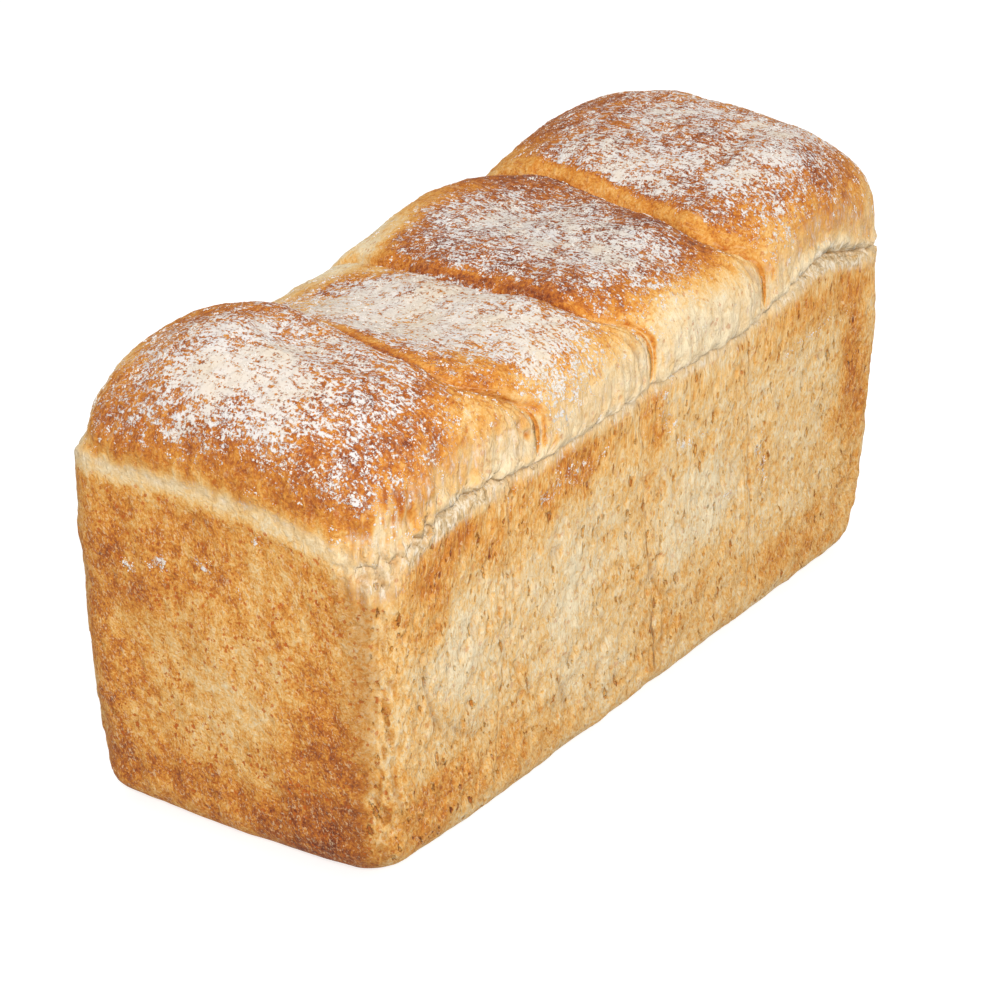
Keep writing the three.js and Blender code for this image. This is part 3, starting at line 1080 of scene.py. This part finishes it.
    def flour(self) -> Array:
        """Dusts the top, clear of the seams, and smears two walls.

        Returns:
            Share of flour.
        """
        s, rough = self.s, self.grain.rough
        clean = np.clip(self.golden + 0.8 * self.narrow + 0.9 * self.core + 0.6 * self.rear, 0, 1)
        dense = self.total(self.dustings, s.x, s.y) * self.crown * ramp(-0.05, 0.4, s.n[:, 2])
        dense *= 1 - clean
        streak = rough(np.stack([s.x / 2.3 + 0.12 * s.y, s.y / 5.5, s.z / 4], -1), 26, 3)
        uneven = (0.18 * streak + 0.16 * rough(s.p / 8, 27, 2)) * ramp(0.02, 0.4, dense)
        flour = np.minimum(0.76 * np.minimum(dense, 1.12) + uneven, self.most_flour)
        smears = s.front * self.total(self.smears, s.x, s.z)
        smears += s.near * self.total(self.end_smears, s.y, s.z)
        return np.maximum(flour, self.wall * smears * (0.75 + 0.6 * rough(s.p / 3, 28)))

    def seam_crack(self) -> tuple[Array, Array]:
        """Finds the thin cracks that the seams leave on the long walls.

        Returns:
            Signed distance along X from the nearest seam's line, and the crack's share.
        """
        s, form = self.s, self.skin.form
        lines = form.stations(np.clip(s.y / form.rim[1], -1, 1), s.z, wall=True)[1:4]
        nearest = np.abs(s.x - lines).argmin(0)
        gap = s.x - np.take_along_axis(lines, nearest[None], 0)[0]
        broken = np.clip(0.75 + 0.6 * self.grain.soft(s.p / 9, 29), 0, 1)
        reach = self.wall * s.long * ramp(8, 16, s.z) * (1 - ramp(-6, -1, s.up))
        return gap, np.array(self.crack_share)[nearest] * broken * reach

    def masks(self, dint: Array) -> dict[str, Array]:
        """Works out the shares.

        Args:
            dint: How deep each point lies in a pore, crease or tear; the colour is darkened there as
                painted shade.

        Returns:
            Shares by name, and gap, the signed distance from the nearest seam's line on the walls.
        """
        s, wall, crown = self.s, self.wall, self.crown
        gap, crack = self.seam_crack()
        freckle = wall * (s.near + s.far + 0.4) + crown * (0.55 - 0.35 * ramp(20, 34, s.up))
        return {
            "bake": np.clip(lerp(self.crown_bake(), self.wall_bake(), wall), 0, 1),
            "cream": np.clip(self.cream(), 0, 1),
            "flour": np.clip(self.flour(), 0, 1),
            "freckle": np.clip(freckle, 0, 1),
            "upright": wall * s.long,
            "fibre": ramp(1.84, 1.98, s.climb) * (1 - ramp(9, 25, s.up)) * (0.2 + 0.8 * s.front),
            # The corner strip's painted shade joins the dint, which darkens the crust's colour.
            "dint": np.maximum(dint, 0.95 * self.corner_shade),
            "gap": gap,
            "crack": crack,
        }


class NodeBench:
    """A short way to lay out the nodes of one material.

    A value is a socket, a number, or a row of numbers.
    """

    def __init__(self, name: str) -> None:
        """Makes an empty material with one Principled shader."""
        self.material = bpy.data.materials.new(name)
        self.material.use_nodes = True
        self.tree = self.material.node_tree
        self.tree.nodes.clear()
        self.shader = self.node("BsdfPrincipled")
        output = self.node("OutputMaterial")
        self.tree.links.new(self.shader.outputs["BSDF"], output.inputs["Surface"])

    def put(self, value: Value, socket: Socket) -> None:
        """Links a socket, or sets a plain value on it."""
        if isinstance(value, Socket):
            self.tree.links.new(value, socket)
        else:
            socket.default_value = value

    def node(self, kind: str, inputs: dict[str | int, Value] | None = None) -> bpy.types.Node:
        """Adds a shader node.

        Args:
            kind: The node's type without its prefix.
            inputs: Values by the inputs' names or numbers.

        Returns:
            The node.
        """
        node = self.tree.nodes.new("ShaderNode" + kind)
        for name, value in (inputs or {}).items():
            self.put(value, node.inputs[name])
        return node

    def shade(self, inputs: dict[str, Value]) -> None:
        """Puts values on the shader's inputs by name."""
        for name, value in inputs.items():
            self.put(value, self.shader.inputs[name])

    def object_place(self) -> Socket:
        """Object coordinates."""
        return self.node("TexCoord").outputs["Object"]

    def share(self, name: str, output: str = "Fac") -> Socket:
        """One of the piece's own shares or vectors, stored with its points."""
        node = self.node("Attribute")
        node.attribute_name = name
        return node.outputs[output]

    def scaled(self, place: Socket, by: Rgb) -> Socket:
        """A place multiplied along each axis."""
        node = self.node("VectorMath", {0: place, 1: by})
        node.operation = "MULTIPLY"
        return node.outputs["Vector"]

    def noise(
        self, place: Socket, scale: float, detail: float = 2, roughness: float = 0.5, swirl: float = 0
    ) -> Socket:
        """A noise texture's value, around one half. The scale is in bumps per unit of the place."""
        inputs = {"Scale": scale, "Detail": detail, "Roughness": roughness, "Distortion": swirl}
        return self.node("TexNoise", {"Vector": place, **inputs}).outputs["Fac"]

    def math(self, kind: str, a: Value, b: Value = 0.0, c: Value = 0.0) -> Socket:
        """One sum of up to three values."""
        node = self.node("Math", {0: a, 1: b, 2: c})
        node.operation = kind
        return node.outputs["Value"]

    def times(self, a: Value, b: Value) -> Socket:
        """a * b."""
        return self.math("MULTIPLY", a, b)

    def plus(self, base: Value, value: Value, by: Value) -> Socket:
        """base + value * by."""
        return self.math("MULTIPLY_ADD", value, by, base)

    def about(self, value: Value, by: Value, base: Value) -> Socket:
        """base + by * (value - 1/2)."""
        return self.plus(base, self.math("SUBTRACT", value, 0.5), by)

    def blend(self, share: Value, a: Value, b: Value) -> Socket:
        """a + share * (b - a)."""
        return self.plus(a, self.math("SUBTRACT", b, a), share)

    def step(self, value: Value, low: Value, high: Value) -> Socket:
        """A smooth step from 0 at low to 1 at high."""
        node = self.node("MapRange", {"Value": value, "From Min": low, "From Max": high})
        node.interpolation_type = "SMOOTHSTEP"
        return node.outputs["Result"]

    def colours(self, value: Value, stops: Stops) -> Socket:
        """A colour picked from a row of stops."""
        node = self.node("ValToRGB", {"Fac": value})
        while len(node.color_ramp.elements) < len(stops):
            node.color_ramp.elements.new(1.0)
        for element, (place, colour) in zip(node.color_ramp.elements, stops):
            element.position = place
            element.color = (*linear(colour), 1)
        return node.outputs["Color"]

    def mix(self, share: Value, a: Socket, b: Socket | Rgb) -> Socket:
        """Colour a turning into colour b.

        Args:
            share: Share of b.
            a: First colour.
            b: Second colour, which may be given in screen values.

        Returns:
            The mixed colour.
        """
        node = self.node("Mix", {"Factor": share})
        node.data_type = "RGBA"
        for value, name in ((a, "A"), (b, "B")):
            socket = next(s for s in node.inputs if s.name == name and s.type == "RGBA")
            self.put((*linear(value), 1) if isinstance(value, tuple) else value, socket)
        return next(s for s in node.outputs if s.type == "RGBA")

    def dots(self, place: Socket, scale: float, share: float, radius: float, edge: Value) -> Socket:
        """Scattered dots of many sizes, in the given share of the cells of a Voronoi pattern.

        Args:
            place: Where the pattern is read.
            scale: Cells in each unit of the place.
            share: Share of the cells that have a dot.
            radius: Radius of the largest dots, in cells.
            edge: What is added to the radius, so that dots aren't round.

        Returns:
            1 inside dots and 0 outside them.
        """
        cells = self.node("TexVoronoi", {"Vector": place, "Scale": scale})
        parts = self.node("SeparateColor", {"Color": cells.outputs["Color"]})
        chance = self.math("SUBTRACT", parts.outputs["Red"], 1 - share)
        size = self.times(chance, radius / share)
        inside = self.math("SUBTRACT", size, cells.outputs["Distance"])
        held = self.times(self.step(size, 0, 0.1), edge)
        return self.step(self.math("ADD", inside, held), 0, 0.14)

    def bump(self, height: Value, distance: float, strength: float) -> None:
        """Gives the shader a bump of the height, which is in units of the distance."""
        node = self.node("Bump", {"Height": height, "Distance": distance, "Strength": strength})
        self.tree.links.new(node.outputs["Normal"], self.shader.inputs["Normal"])


def linear(colour: Rgb) -> Rgb:
    """A colour given in 0 to 255 screen values, as linear light."""
    c = np.array(colour) / 255
    return tuple(float(v) for v in np.where(c < 0.04045, c / 12.92, ((c + 0.055) / 1.055) ** 2.4))


class CrustPatterns:
    """The piece's own shares, and the noises that the crust's colour and its bump are both made of."""

    def __init__(self, b: NodeBench) -> None:
        """Lays the patterns out on a bench."""
        place, strand = b.object_place(), b.share("strand", "Vector")
        self.place, self.strand = place, strand
        self.freckle, self.fibre, self.upright = (b.share(n) for n in ("freckle", "fibre", "upright"))
        self.crumb = b.noise(place, 1150, 2, 0.7, 0.4)
        worm = b.noise(b.scaled(strand, (1000, 1000, 500)), 1, 3, 0.65, 0.8)
        self.hair = b.noise(b.scaled(strand, (1150, 1150, 220)), 1, 3, 0.6, 0.3)
        self.fine = b.blend(self.fibre, b.blend(self.upright, self.crumb, worm), self.hair)
        long_mid = b.noise(b.scaled(strand, (400, 400, 210)), 1, 4, 0.7, 0.6)
        self.mid = b.blend(self.upright, b.noise(place, 400, 4, 0.65, 0.5), long_mid)
        bent = b.about(worm, 0.5, 0.0)
        long_pits = b.dots(b.scaled(strand, (330, 330, 120)), 1, 0.45, 0.34, bent)
        small_pits = b.dots(b.scaled(strand, (620, 620, 300)), 1, 0.5, 0.4, bent)
        pits = b.math("MAXIMUM", long_pits, b.times(small_pits, 0.7))
        self.pits = b.times(pits, b.plus(0.15, self.upright, 0.75))
        ragged = b.about(self.crumb, 0.9, 0.0)
        self.dots = b.dots(place, 330, 0.55, 0.36, ragged)
        self.motes = b.dots(place, 560, 0.4, 0.46, ragged)
        wander = b.math("ABSOLUTE", b.about(self.mid, 2.2, b.share("gap")))
        self.split = b.times(b.step(wander, 0.6, 0.15), b.share("crack"))
        self.flour = self.flour_cover(b)

    def flour_cover(self, b: NodeBench) -> Socket:
        """How much of the crust the flour hides at a place.

        A noise of streaks, clumps and grains is cut at a level that falls as the share of flour grows.
        """
        share = b.share("flour")
        streaks = b.noise(b.scaled(self.place, (1050, 340, 700)), 1, 3, 0.6)
        grains, clumps = b.noise(self.place, 1200, 3, 0.7), b.noise(self.place, 280, 2, 0.6)
        dust = b.about(streaks, 2.2, b.about(grains, 2.7, b.about(clumps, 1.0, 0.5)))
        level = b.plus(1.3, share, -1.4)
        cover = b.step(dust, b.math("SUBTRACT", level, 0.12), b.math("ADD", level, 0.26))
        return b.times(cover, b.times(b.step(share, 0.0, 0.06), 0.94))


@dataclass(frozen=True)
class CrustFinish:
    """Dry baked crust: from straw through gold to red-brown, cream where torn, white under flour."""

    crust: Stops = (
        (0.0, (241, 222, 184)),
        (0.15, (235, 206, 158)),
        (0.3, (234, 191, 125)),
        (0.45, (225, 166, 85)),
        (0.6, (210, 136, 51)),
        (0.75, (182, 104, 38)),
        (0.9, (146, 75, 36)),
        (1.0, (112, 54, 30)),
    )
    torn: Stops = ((0.3, (184, 155, 114)), (0.5, (219, 197, 160)), (0.7, (240, 228, 206)))
    powder: Stops = ((0.6, (228, 224, 220)), (1.0, (224, 210, 188)))
    # Painted shade, mixed in by the dint in pores, creases, tears and the near front corner.
    shade: Rgb = (142, 86, 36)
    # Painted shade in the seams' cracks on the long walls.
    split: Rgb = (150, 92, 46)
    spot: Rgb = (190, 92, 24)
    pale: Rgb = (238, 208, 164)
    roughness: float = 0.75
    floury_roughness: float = 0.2
    sheen: float = 0.18
    bump: float = 0.001

    def material(self) -> bpy.types.Material:
        """Builds the material. It reads the piece's own shares, so both pieces can use it."""
        b = NodeBench("crust")
        t = CrustPatterns(b)
        rough = b.plus(self.roughness, t.flour, self.floury_roughness)
        b.shade({"Base Color": self.colour(b, t), "Roughness": rough, "Specular IOR Level": self.sheen})
        b.bump(self.height(b, t), self.bump, 1)
        return b.material

    @staticmethod
    def bake(b: NodeBench, t: CrustPatterns) -> Socket:
        """How dark the crust is: the piece's own bake, made uneven by every pattern."""
        bake = b.about(t.fine, b.plus(b.plus(0.65, t.freckle, 0.2), t.upright, 0.35), b.share("bake"))
        bake = b.about(t.mid, b.plus(0.55, t.upright, -0.1), bake)
        bake = b.about(b.noise(t.place, 115, 4, 0.6), 0.4, bake)
        bake = b.about(b.noise(t.place, 230, 3, 0.6, 0.5), b.times(t.freckle, 0.55), bake)
        # Painted shade: the pits are made darker.
        return b.plus(bake, t.pits, 0.3)

    def colour(self, b: NodeBench, t: CrustPatterns) -> Socket:
        """The crust's colour, then flecks, spots, painted shade in dints and seam splits, torn crumb and
        flour.
        """
        flecks = b.step(b.noise(b.scaled(t.strand, (950, 950, 650)), 1, 2, 0.6, 1.2), 0.54, 0.68)
        crumbs = b.math("MAXIMUM", b.math("MAXIMUM", t.freckle, t.upright), 0.4)
        spots = b.math("MAXIMUM", b.times(t.dots, 0.9), b.times(t.motes, 0.75))
        torn = b.about(t.hair, b.times(t.fibre, 1.4), b.noise(t.place, 420, 4, 0.65))
        edge = b.about(t.fine, 1.2, b.about(t.mid, 0.8, b.share("cream")))
        powder = b.about(b.noise(t.place, 70, 2), 0.7, b.share("flour"))
        colour = b.colours(self.bake(b, t), self.crust)
        for share, layer in (
            (b.times(flecks, b.times(crumbs, 0.55)), self.pale),
            (b.times(spots, t.freckle), self.spot),
            # Painted shade in pores, creases, tears and the near front corner.
            (b.times(b.share("dint"), 0.5), self.shade),
            # Painted shade in the seams' cracks.
            (b.times(t.split, 0.75), self.split),
            (b.times(b.step(edge, 0.2, 0.85), 0.9), b.colours(torn, self.torn)),
            (t.flour, b.colours(powder, self.powder)),
        ):
            colour = b.mix(share, colour, layer)
        return colour

    @staticmethod
    def height(b: NodeBench, t: CrustPatterns) -> Socket:
        """Height of the bump, in units of its distance."""
        coarse = b.math("MAXIMUM", t.upright, b.times(t.fibre, 0.8))
        height = b.plus(b.times(t.mid, -1.1), t.fine, -0.6)
        height = b.times(height, b.plus(0.65, coarse, 0.35))
        height = b.plus(b.plus(height, t.pits, -0.8), t.split, -0.8)
        height = b.plus(height, t.dots, b.times(t.freckle, -0.15))
        return b.plus(height, t.flour, b.times(t.crumb, 0.3))


@dataclass(frozen=True)
class FlourFinish:
    """Loose white flour."""

    powder: Stops = ((0.3, (230, 225, 219)), (0.7, (228, 218, 204)))
    roughness: float = 0.95
    sheen: float = 0.2
    bump: float = 0.0002

    def material(self) -> bpy.types.Material:
        """Builds the material."""
        b = NodeBench("flour")
        place = b.object_place()
        colour = b.colours(b.noise(place, 60), self.powder)
        b.shade({"Base Color": colour, "Roughness": self.roughness, "Specular IOR Level": self.sheen})
        b.bump(b.noise(place, 3000), self.bump, 0.5)
        return b.material


def make_piece(name: str, points: Array, faces: list[Array]) -> bpy.types.Object:
    """Makes a smooth-shaded mesh object at the origin.

    Args:
        name: The piece's name.
        points: Places in millimetres.
        faces: Arrays of faces, each array with its own number of corners.

    Returns:
        The object, linked to the scene.
    """
    mesh = bpy.data.meshes.new(name)
    corners = np.concatenate([f.ravel() for f in faces]).astype(np.int32)
    sizes = np.concatenate([np.full(len(f), f.shape[1]) for f in faces])
    mesh.vertices.add(len(points))
    mesh.vertices.foreach_set("co", (points * MM).astype(np.float32).ravel())
    mesh.loops.add(len(corners))
    mesh.loops.foreach_set("vertex_index", corners)
    mesh.polygons.add(len(sizes))
    mesh.polygons.foreach_set("loop_start", (np.cumsum(sizes) - sizes).astype(np.int32))
    mesh.update(calc_edges=True)
    mesh.validate()
    mesh.shade_smooth()
    piece = bpy.data.objects.new(name, mesh)
    bpy.context.scene.collection.objects.link(piece)
    return piece


@dataclass(frozen=True)
class Closing:
    """What closes a piece at a row of the grid: rings that shrink to one middle point, lifted from it."""

    row: int
    lift: float
    up: bool
    shares: Row = (0.94, 0.7, 0.35)

    def build(self, loop: Array, points: Array) -> tuple[Array, list[Array]]:
        """Builds the rings.

        Args:
            loop: Numbers of the loop's points, anticlockwise from above.
            points: The piece's points so far.

        Returns:
            The new points, and their faces.
        """
        edge = points[loop]
        middle = edge.mean(0) + [0, 0, self.lift]
        new = [lerp(middle, edge, share) for share in self.shares]
        for ring in new:
            ring[:, 2] = edge[:, 2] + self.lift
        count = len(loop)
        numbers = len(points) + np.arange(len(new) * count + 1)
        rings = [loop, *numbers[:-1].reshape(len(new), count)]
        fan = ring_quads(rings[-1], np.full(count, numbers[-1]))[:, :3]
        faces = [np.concatenate([ring_quads(*pair) for pair in zip(rings, rings[1:])]), fan]
        return np.concatenate([*new, middle[None]]), [f if self.up else f[:, ::-1] for f in faces]


@dataclass
class LoafPiece:
    """One closed piece of the skin: the grid's rows from start to end, and the top if it is topped."""

    name: str
    start: int
    end: int
    closings: tuple[Closing, ...]
    topped: bool

    def build(self, skin: Skin, masks: dict[str, Array]) -> bpy.types.Object:
        """Builds the piece.

        Args:
            skin: The roughened skin.
            masks: Shares of every point of the skin.

        Returns:
            The piece, with its shares stored as attributes and the whole skin's normals.
        """
        grid = skin.grid
        quads = grid.side_quads(self.start, self.end)
        if self.topped:
            quads = np.concatenate([quads, grid.top_quads()])
        used = np.unique(quads)
        renumber = np.full(grid.size, -1)
        renumber[used] = np.arange(len(used))
        points, faces, normals = skin.points[used], [renumber[quads]], [skin.normals[used]]
        for closing in self.closings:
            new, more = closing.build(renumber[grid.sides[closing.row]], points)
            points = np.concatenate([points, new])
            faces += more
            normals.append(np.tile([0, 0, 1.0 if closing.up else -1.0], (len(new), 1)))
        piece = make_piece(self.name, points, faces)
        mesh, extra = piece.data, len(points) - len(used)
        for name, share in masks.items():
            layer = mesh.attributes.new(name, "FLOAT", "POINT")
            layer.data.foreach_set("value", np.pad(share[used], (0, extra)).astype(np.float32))
        strand = Relief.upright(skin.points[used])
        if self.topped:
            strand[:, :2] = skin.stem[used][:, :2]
        strand = np.pad(strand * MM, ((0, extra), (0, 0)))
        layer = mesh.attributes.new("strand", "FLOAT_VECTOR", "POINT")
        layer.data.foreach_set("vector", strand.astype(np.float32).ravel())
        mesh.normals_split_custom_set_from_vertices(np.concatenate(normals).tolist())
        return piece


class Lump(Enum):
    """Solids that a grain of flour may start from, each with its number of points."""

    EIGHT_SIDED = 6
    TWENTY_SIDED = 12

    def mesh(self) -> tuple[Array, Array]:
        """Points and faces, the faces found as the triples of nearest points."""
        if self is Lump.EIGHT_SIDED:
            points, side = np.concatenate([np.eye(3), -np.eye(3)]), math.sqrt(2)
        else:
            golden = (1 + math.sqrt(5)) / 2
            flat = np.array([[0, s, t * golden] for s in (-1, 1) for t in (-1, 1)])
            reach = math.hypot(1, golden)
            points, side = np.concatenate([np.roll(flat, k, 1) for k in range(3)]) / reach, 2 / reach
        near = np.abs(np.linalg.norm(points[:, None] - points[None], axis=-1) - side) < 0.01
        triples = np.array(list(combinations(range(self.value), 3)))
        a, b, c = triples.T
        faces = triples[near[a, b] & near[b, c] & near[a, c]]
        p = points[faces]
        outward = (np.cross(p[:, 1] - p[:, 0], p[:, 2] - p[:, 0]) * p[:, 0]).sum(-1) > 0
        faces[~outward] = faces[~outward][:, ::-1]
        return points, faces


@dataclass(frozen=True)
class FlourGrains:
    """Loose grains of flour on the crust, all one mesh of small flattened lumps.

    They lie in clusters: each cluster has a middle on the skin and spread is its radius.
    """

    name: str
    seed: int
    lump: Lump
    clusters: int
    each: int
    smallest: float
    largest: float
    spread: float
    flatness: float = 0.6
    lift_share: float = 0.1
    thin_bias: float = 1.2
    stray_share: float = 0.01

    def build(self, skin: Skin, flour: Array) -> bpy.types.Object:
        """Scatters the lumps.

        A quad of the skin is picked by its area times its flour, most often where the flour is thin,
        and a place in it by two even random shares. Grains scatter round it in the plane of the skin.
        Each is turned at random about the normal and flattened along it.

        Args:
            skin: The roughened skin.
            flour: Share of flour at every point of the skin.

        Returns:
            The piece.
        """
        random = np.random.default_rng(self.seed)
        quads = skin.quads()
        p = skin.points[quads]
        area = np.linalg.norm(np.cross(p[:, 2] - p[:, 0], p[:, 3] - p[:, 1]), axis=-1)
        dust = flour[quads].mean(1)
        weight = area * (dust * (self.thin_bias - dust) + self.stray_share * ramp(0.001, 0.02, dust))
        pick = random.choice(len(quads), self.clusters, p=weight / weight.sum())
        u, v = random.random((2, self.clusters, 1))
        place, normal = (
            np.repeat(lerp(lerp(c[:, 0], c[:, 1], u), lerp(c[:, 3], c[:, 2], u), v), self.each, 0)
            for c in (p[pick], skin.normals[quads[pick]])
        )
        normal = unit(normal)
        count = len(place)
        other = unit(np.cross(normal, random.normal(size=(count, 3))))
        place = place + other * self.spread * np.abs(random.normal(size=(count, 1)))
        size = self.smallest * (self.largest / self.smallest) ** (random.random(count) ** 2)
        shape, faces = self.lump.mesh()
        local = shape * size[:, None, None] * (0.7 + 0.6 * random.random((count, len(shape), 3)))
        local[..., 2] = local[..., 2] * self.flatness + self.lift_share * size[:, None]
        axes = np.stack([other, np.cross(normal, other), normal], 1)
        points = place[:, None] + local @ axes
        numbers = faces + len(shape) * np.arange(count)[:, None, None]
        return make_piece(self.name, points.reshape(-1, 3), [numbers.reshape(-1, 3)])


@dataclass(frozen=True)
class Softbox:
    """A square area light aimed at the loaf: its place, its side in metres and its power in watts."""

    name: str
    place: tuple[float, float, float]
    side: float
    power: float


@dataclass(frozen=True)
class Studio:
    """A pale floor, soft lights and the camera, which stands back from an aim point in the loaf.

    Angles are in degrees, and lengths in metres except the lens and its sensor, in millimetres. The
    aim height is a share of the loaf's height, and the offset moves the camera right and up.
    """

    azimuth: float = -55.25
    elevation: float = 25.86
    distance: float = 1.0136
    lens: float = 115.2
    sensor: float = 36
    clip: tuple[float, float] = (0.05, 60)
    aim_height: float = 0.3697
    offset: tuple[float, float] = (-0.002049, -0.00153)
    floor_side: float = 14.0
    floor_white: float = 0.5
    floor_roughness: float = 0.9
    floor_glow: float = 0.66
    world_strength: float = 0.49
    lights: tuple[Softbox, ...] = (
        Softbox("key", (-1.12, -0.9, 0.86), 0.36, 20.5),
        Softbox("overhead", (0.1, 0.5, 1.4), 1.0, 5.5),
        Softbox("fill", (0.9, -1.3, 0.4), 1.2, 6),
    )

    def build(self) -> None:
        """Builds the floor, the world, the lights and the camera."""
        low, high = (np.array(corner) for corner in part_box(NODE))
        aim = (low + high) / 2
        aim[2] = lerp(low[2], high[2], self.aim_height)
        self.build_floor(low[2])
        world = bpy.data.worlds.new("studio")
        world.use_nodes = True
        background = world.node_tree.nodes["Background"]
        background.inputs["Color"].default_value = (1, 1, 1, 1)
        background.inputs["Strength"].default_value = self.world_strength
        bpy.context.scene.world = world
        for box in self.lights:
            light = bpy.data.lights.new(box.name, "AREA")
            light.size, light.energy = box.side, box.power
            self.stand(light, np.array(box.place), np.array(box.place) - aim)

        a, e = math.radians(self.azimuth), math.radians(self.elevation)
        back = np.array([math.sin(a) * math.cos(e), -math.cos(a) * math.cos(e), math.sin(e)])
        right = np.array([math.cos(a), math.sin(a), 0])
        shift = right * self.offset[0] + np.cross(back, right) * self.offset[1]
        lens = bpy.data.cameras.new("camera")
        lens.lens, lens.sensor_width = self.lens, self.sensor
        lens.clip_start, lens.clip_end = self.clip
        camera = self.stand(lens, aim + back * self.distance + shift, back)
        bpy.context.scene.camera = camera
        bpy.context.scene.view_settings.view_transform = "Standard"

    def build_floor(self, height: float) -> None:
        """Builds the floor, which sends no light back to the loaf."""
        half = self.floor_side / 2 / MM
        square = np.array([[-half, -half], [half, -half], [half, half], [-half, half]])
        points = np.pad(square, ((0, 0), (0, 1)), constant_values=height / MM)
        floor = make_piece("floor", points, [np.arange(4)[None]])
        bench = NodeBench("pale_floor")
        bench.shade(
            {
                "Base Color": (*[self.floor_white] * 3, 1),
                "Roughness": self.floor_roughness,
                "Emission Color": (1, 1, 1, 1),
                "Emission Strength": self.floor_glow,
            }
        )
        floor.data.materials.append(bench.material)
        floor.visible_diffuse = False

    @staticmethod
    def stand(data: bpy.types.ID, place: Array, back: Array) -> bpy.types.Object:
        """Stands a light or a camera in the scene, with +Z up.

        Args:
            data: The light's or the camera's data.
            place: Where it stands.
            back: The way it looks away from.

        Returns:
            The new object.
        """
        back = unit(back)
        right = unit(np.cross([0, 0, 1], back))
        rows = np.eye(4)
        rows[:3] = np.stack([right, np.cross(back, right), back, place], 1)
        thing = bpy.data.objects.new(data.name, data)
        thing.matrix_world = Matrix(rows.tolist())
        bpy.context.scene.collection.objects.link(thing)
        return thing


def main() -> None:
    """Builds the loaf, its flour and the studio."""
    logging.basicConfig(level=logging.INFO, format="%(name)s: %(message)s")
    grain = Grain(seed=7)
    box = tuple(np.array(corner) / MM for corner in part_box(NODE))
    skin = Skin(SkinGrid(), LoafForm(), box)
    dint = Relief(grain).apply(skin)
    masks = Bake(grain, skin).masks(dint)
    crust = CrustFinish().material()
    fold, top = skin.grid.fold_row, skin.grid.rows
    foot, under, over = Closing(0, 0.0, False), Closing(fold, -4.0, True), Closing(fold, 4.0, False)
    walls = LoafPiece("loaf_walls", 0, fold, (foot, under), False).build(skin, masks)
    crown = LoafPiece("loaf_crown", fold, top, (over,), True).build(skin, masks)
    for piece in (walls, crown):
        piece.data.materials.append(crust)
    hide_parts(NODE)
    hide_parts(NODE)
    powder = FlourFinish().material()
    dust = FlourGrains("flour_dust", 11, Lump.EIGHT_SIDED, 4000, 6, 0.1, 0.26, 0.6)
    clumps = FlourGrains("flour_clumps", 12, Lump.TWENTY_SIDED, 820, 12, 0.14, 0.42, 0.9)
    flour = [scatter.build(skin, masks["flour"]) for scatter in (dust, clumps)]
    for piece in flour:
        piece.data.materials.append(powder)
    for piece in (walls, crown, *flour):
        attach(piece, BODY)
        LOG.info("%s: %d faces", piece.name, len(piece.data.polygons))
    Studio().build()


if __name__ == "__main__":
    main()
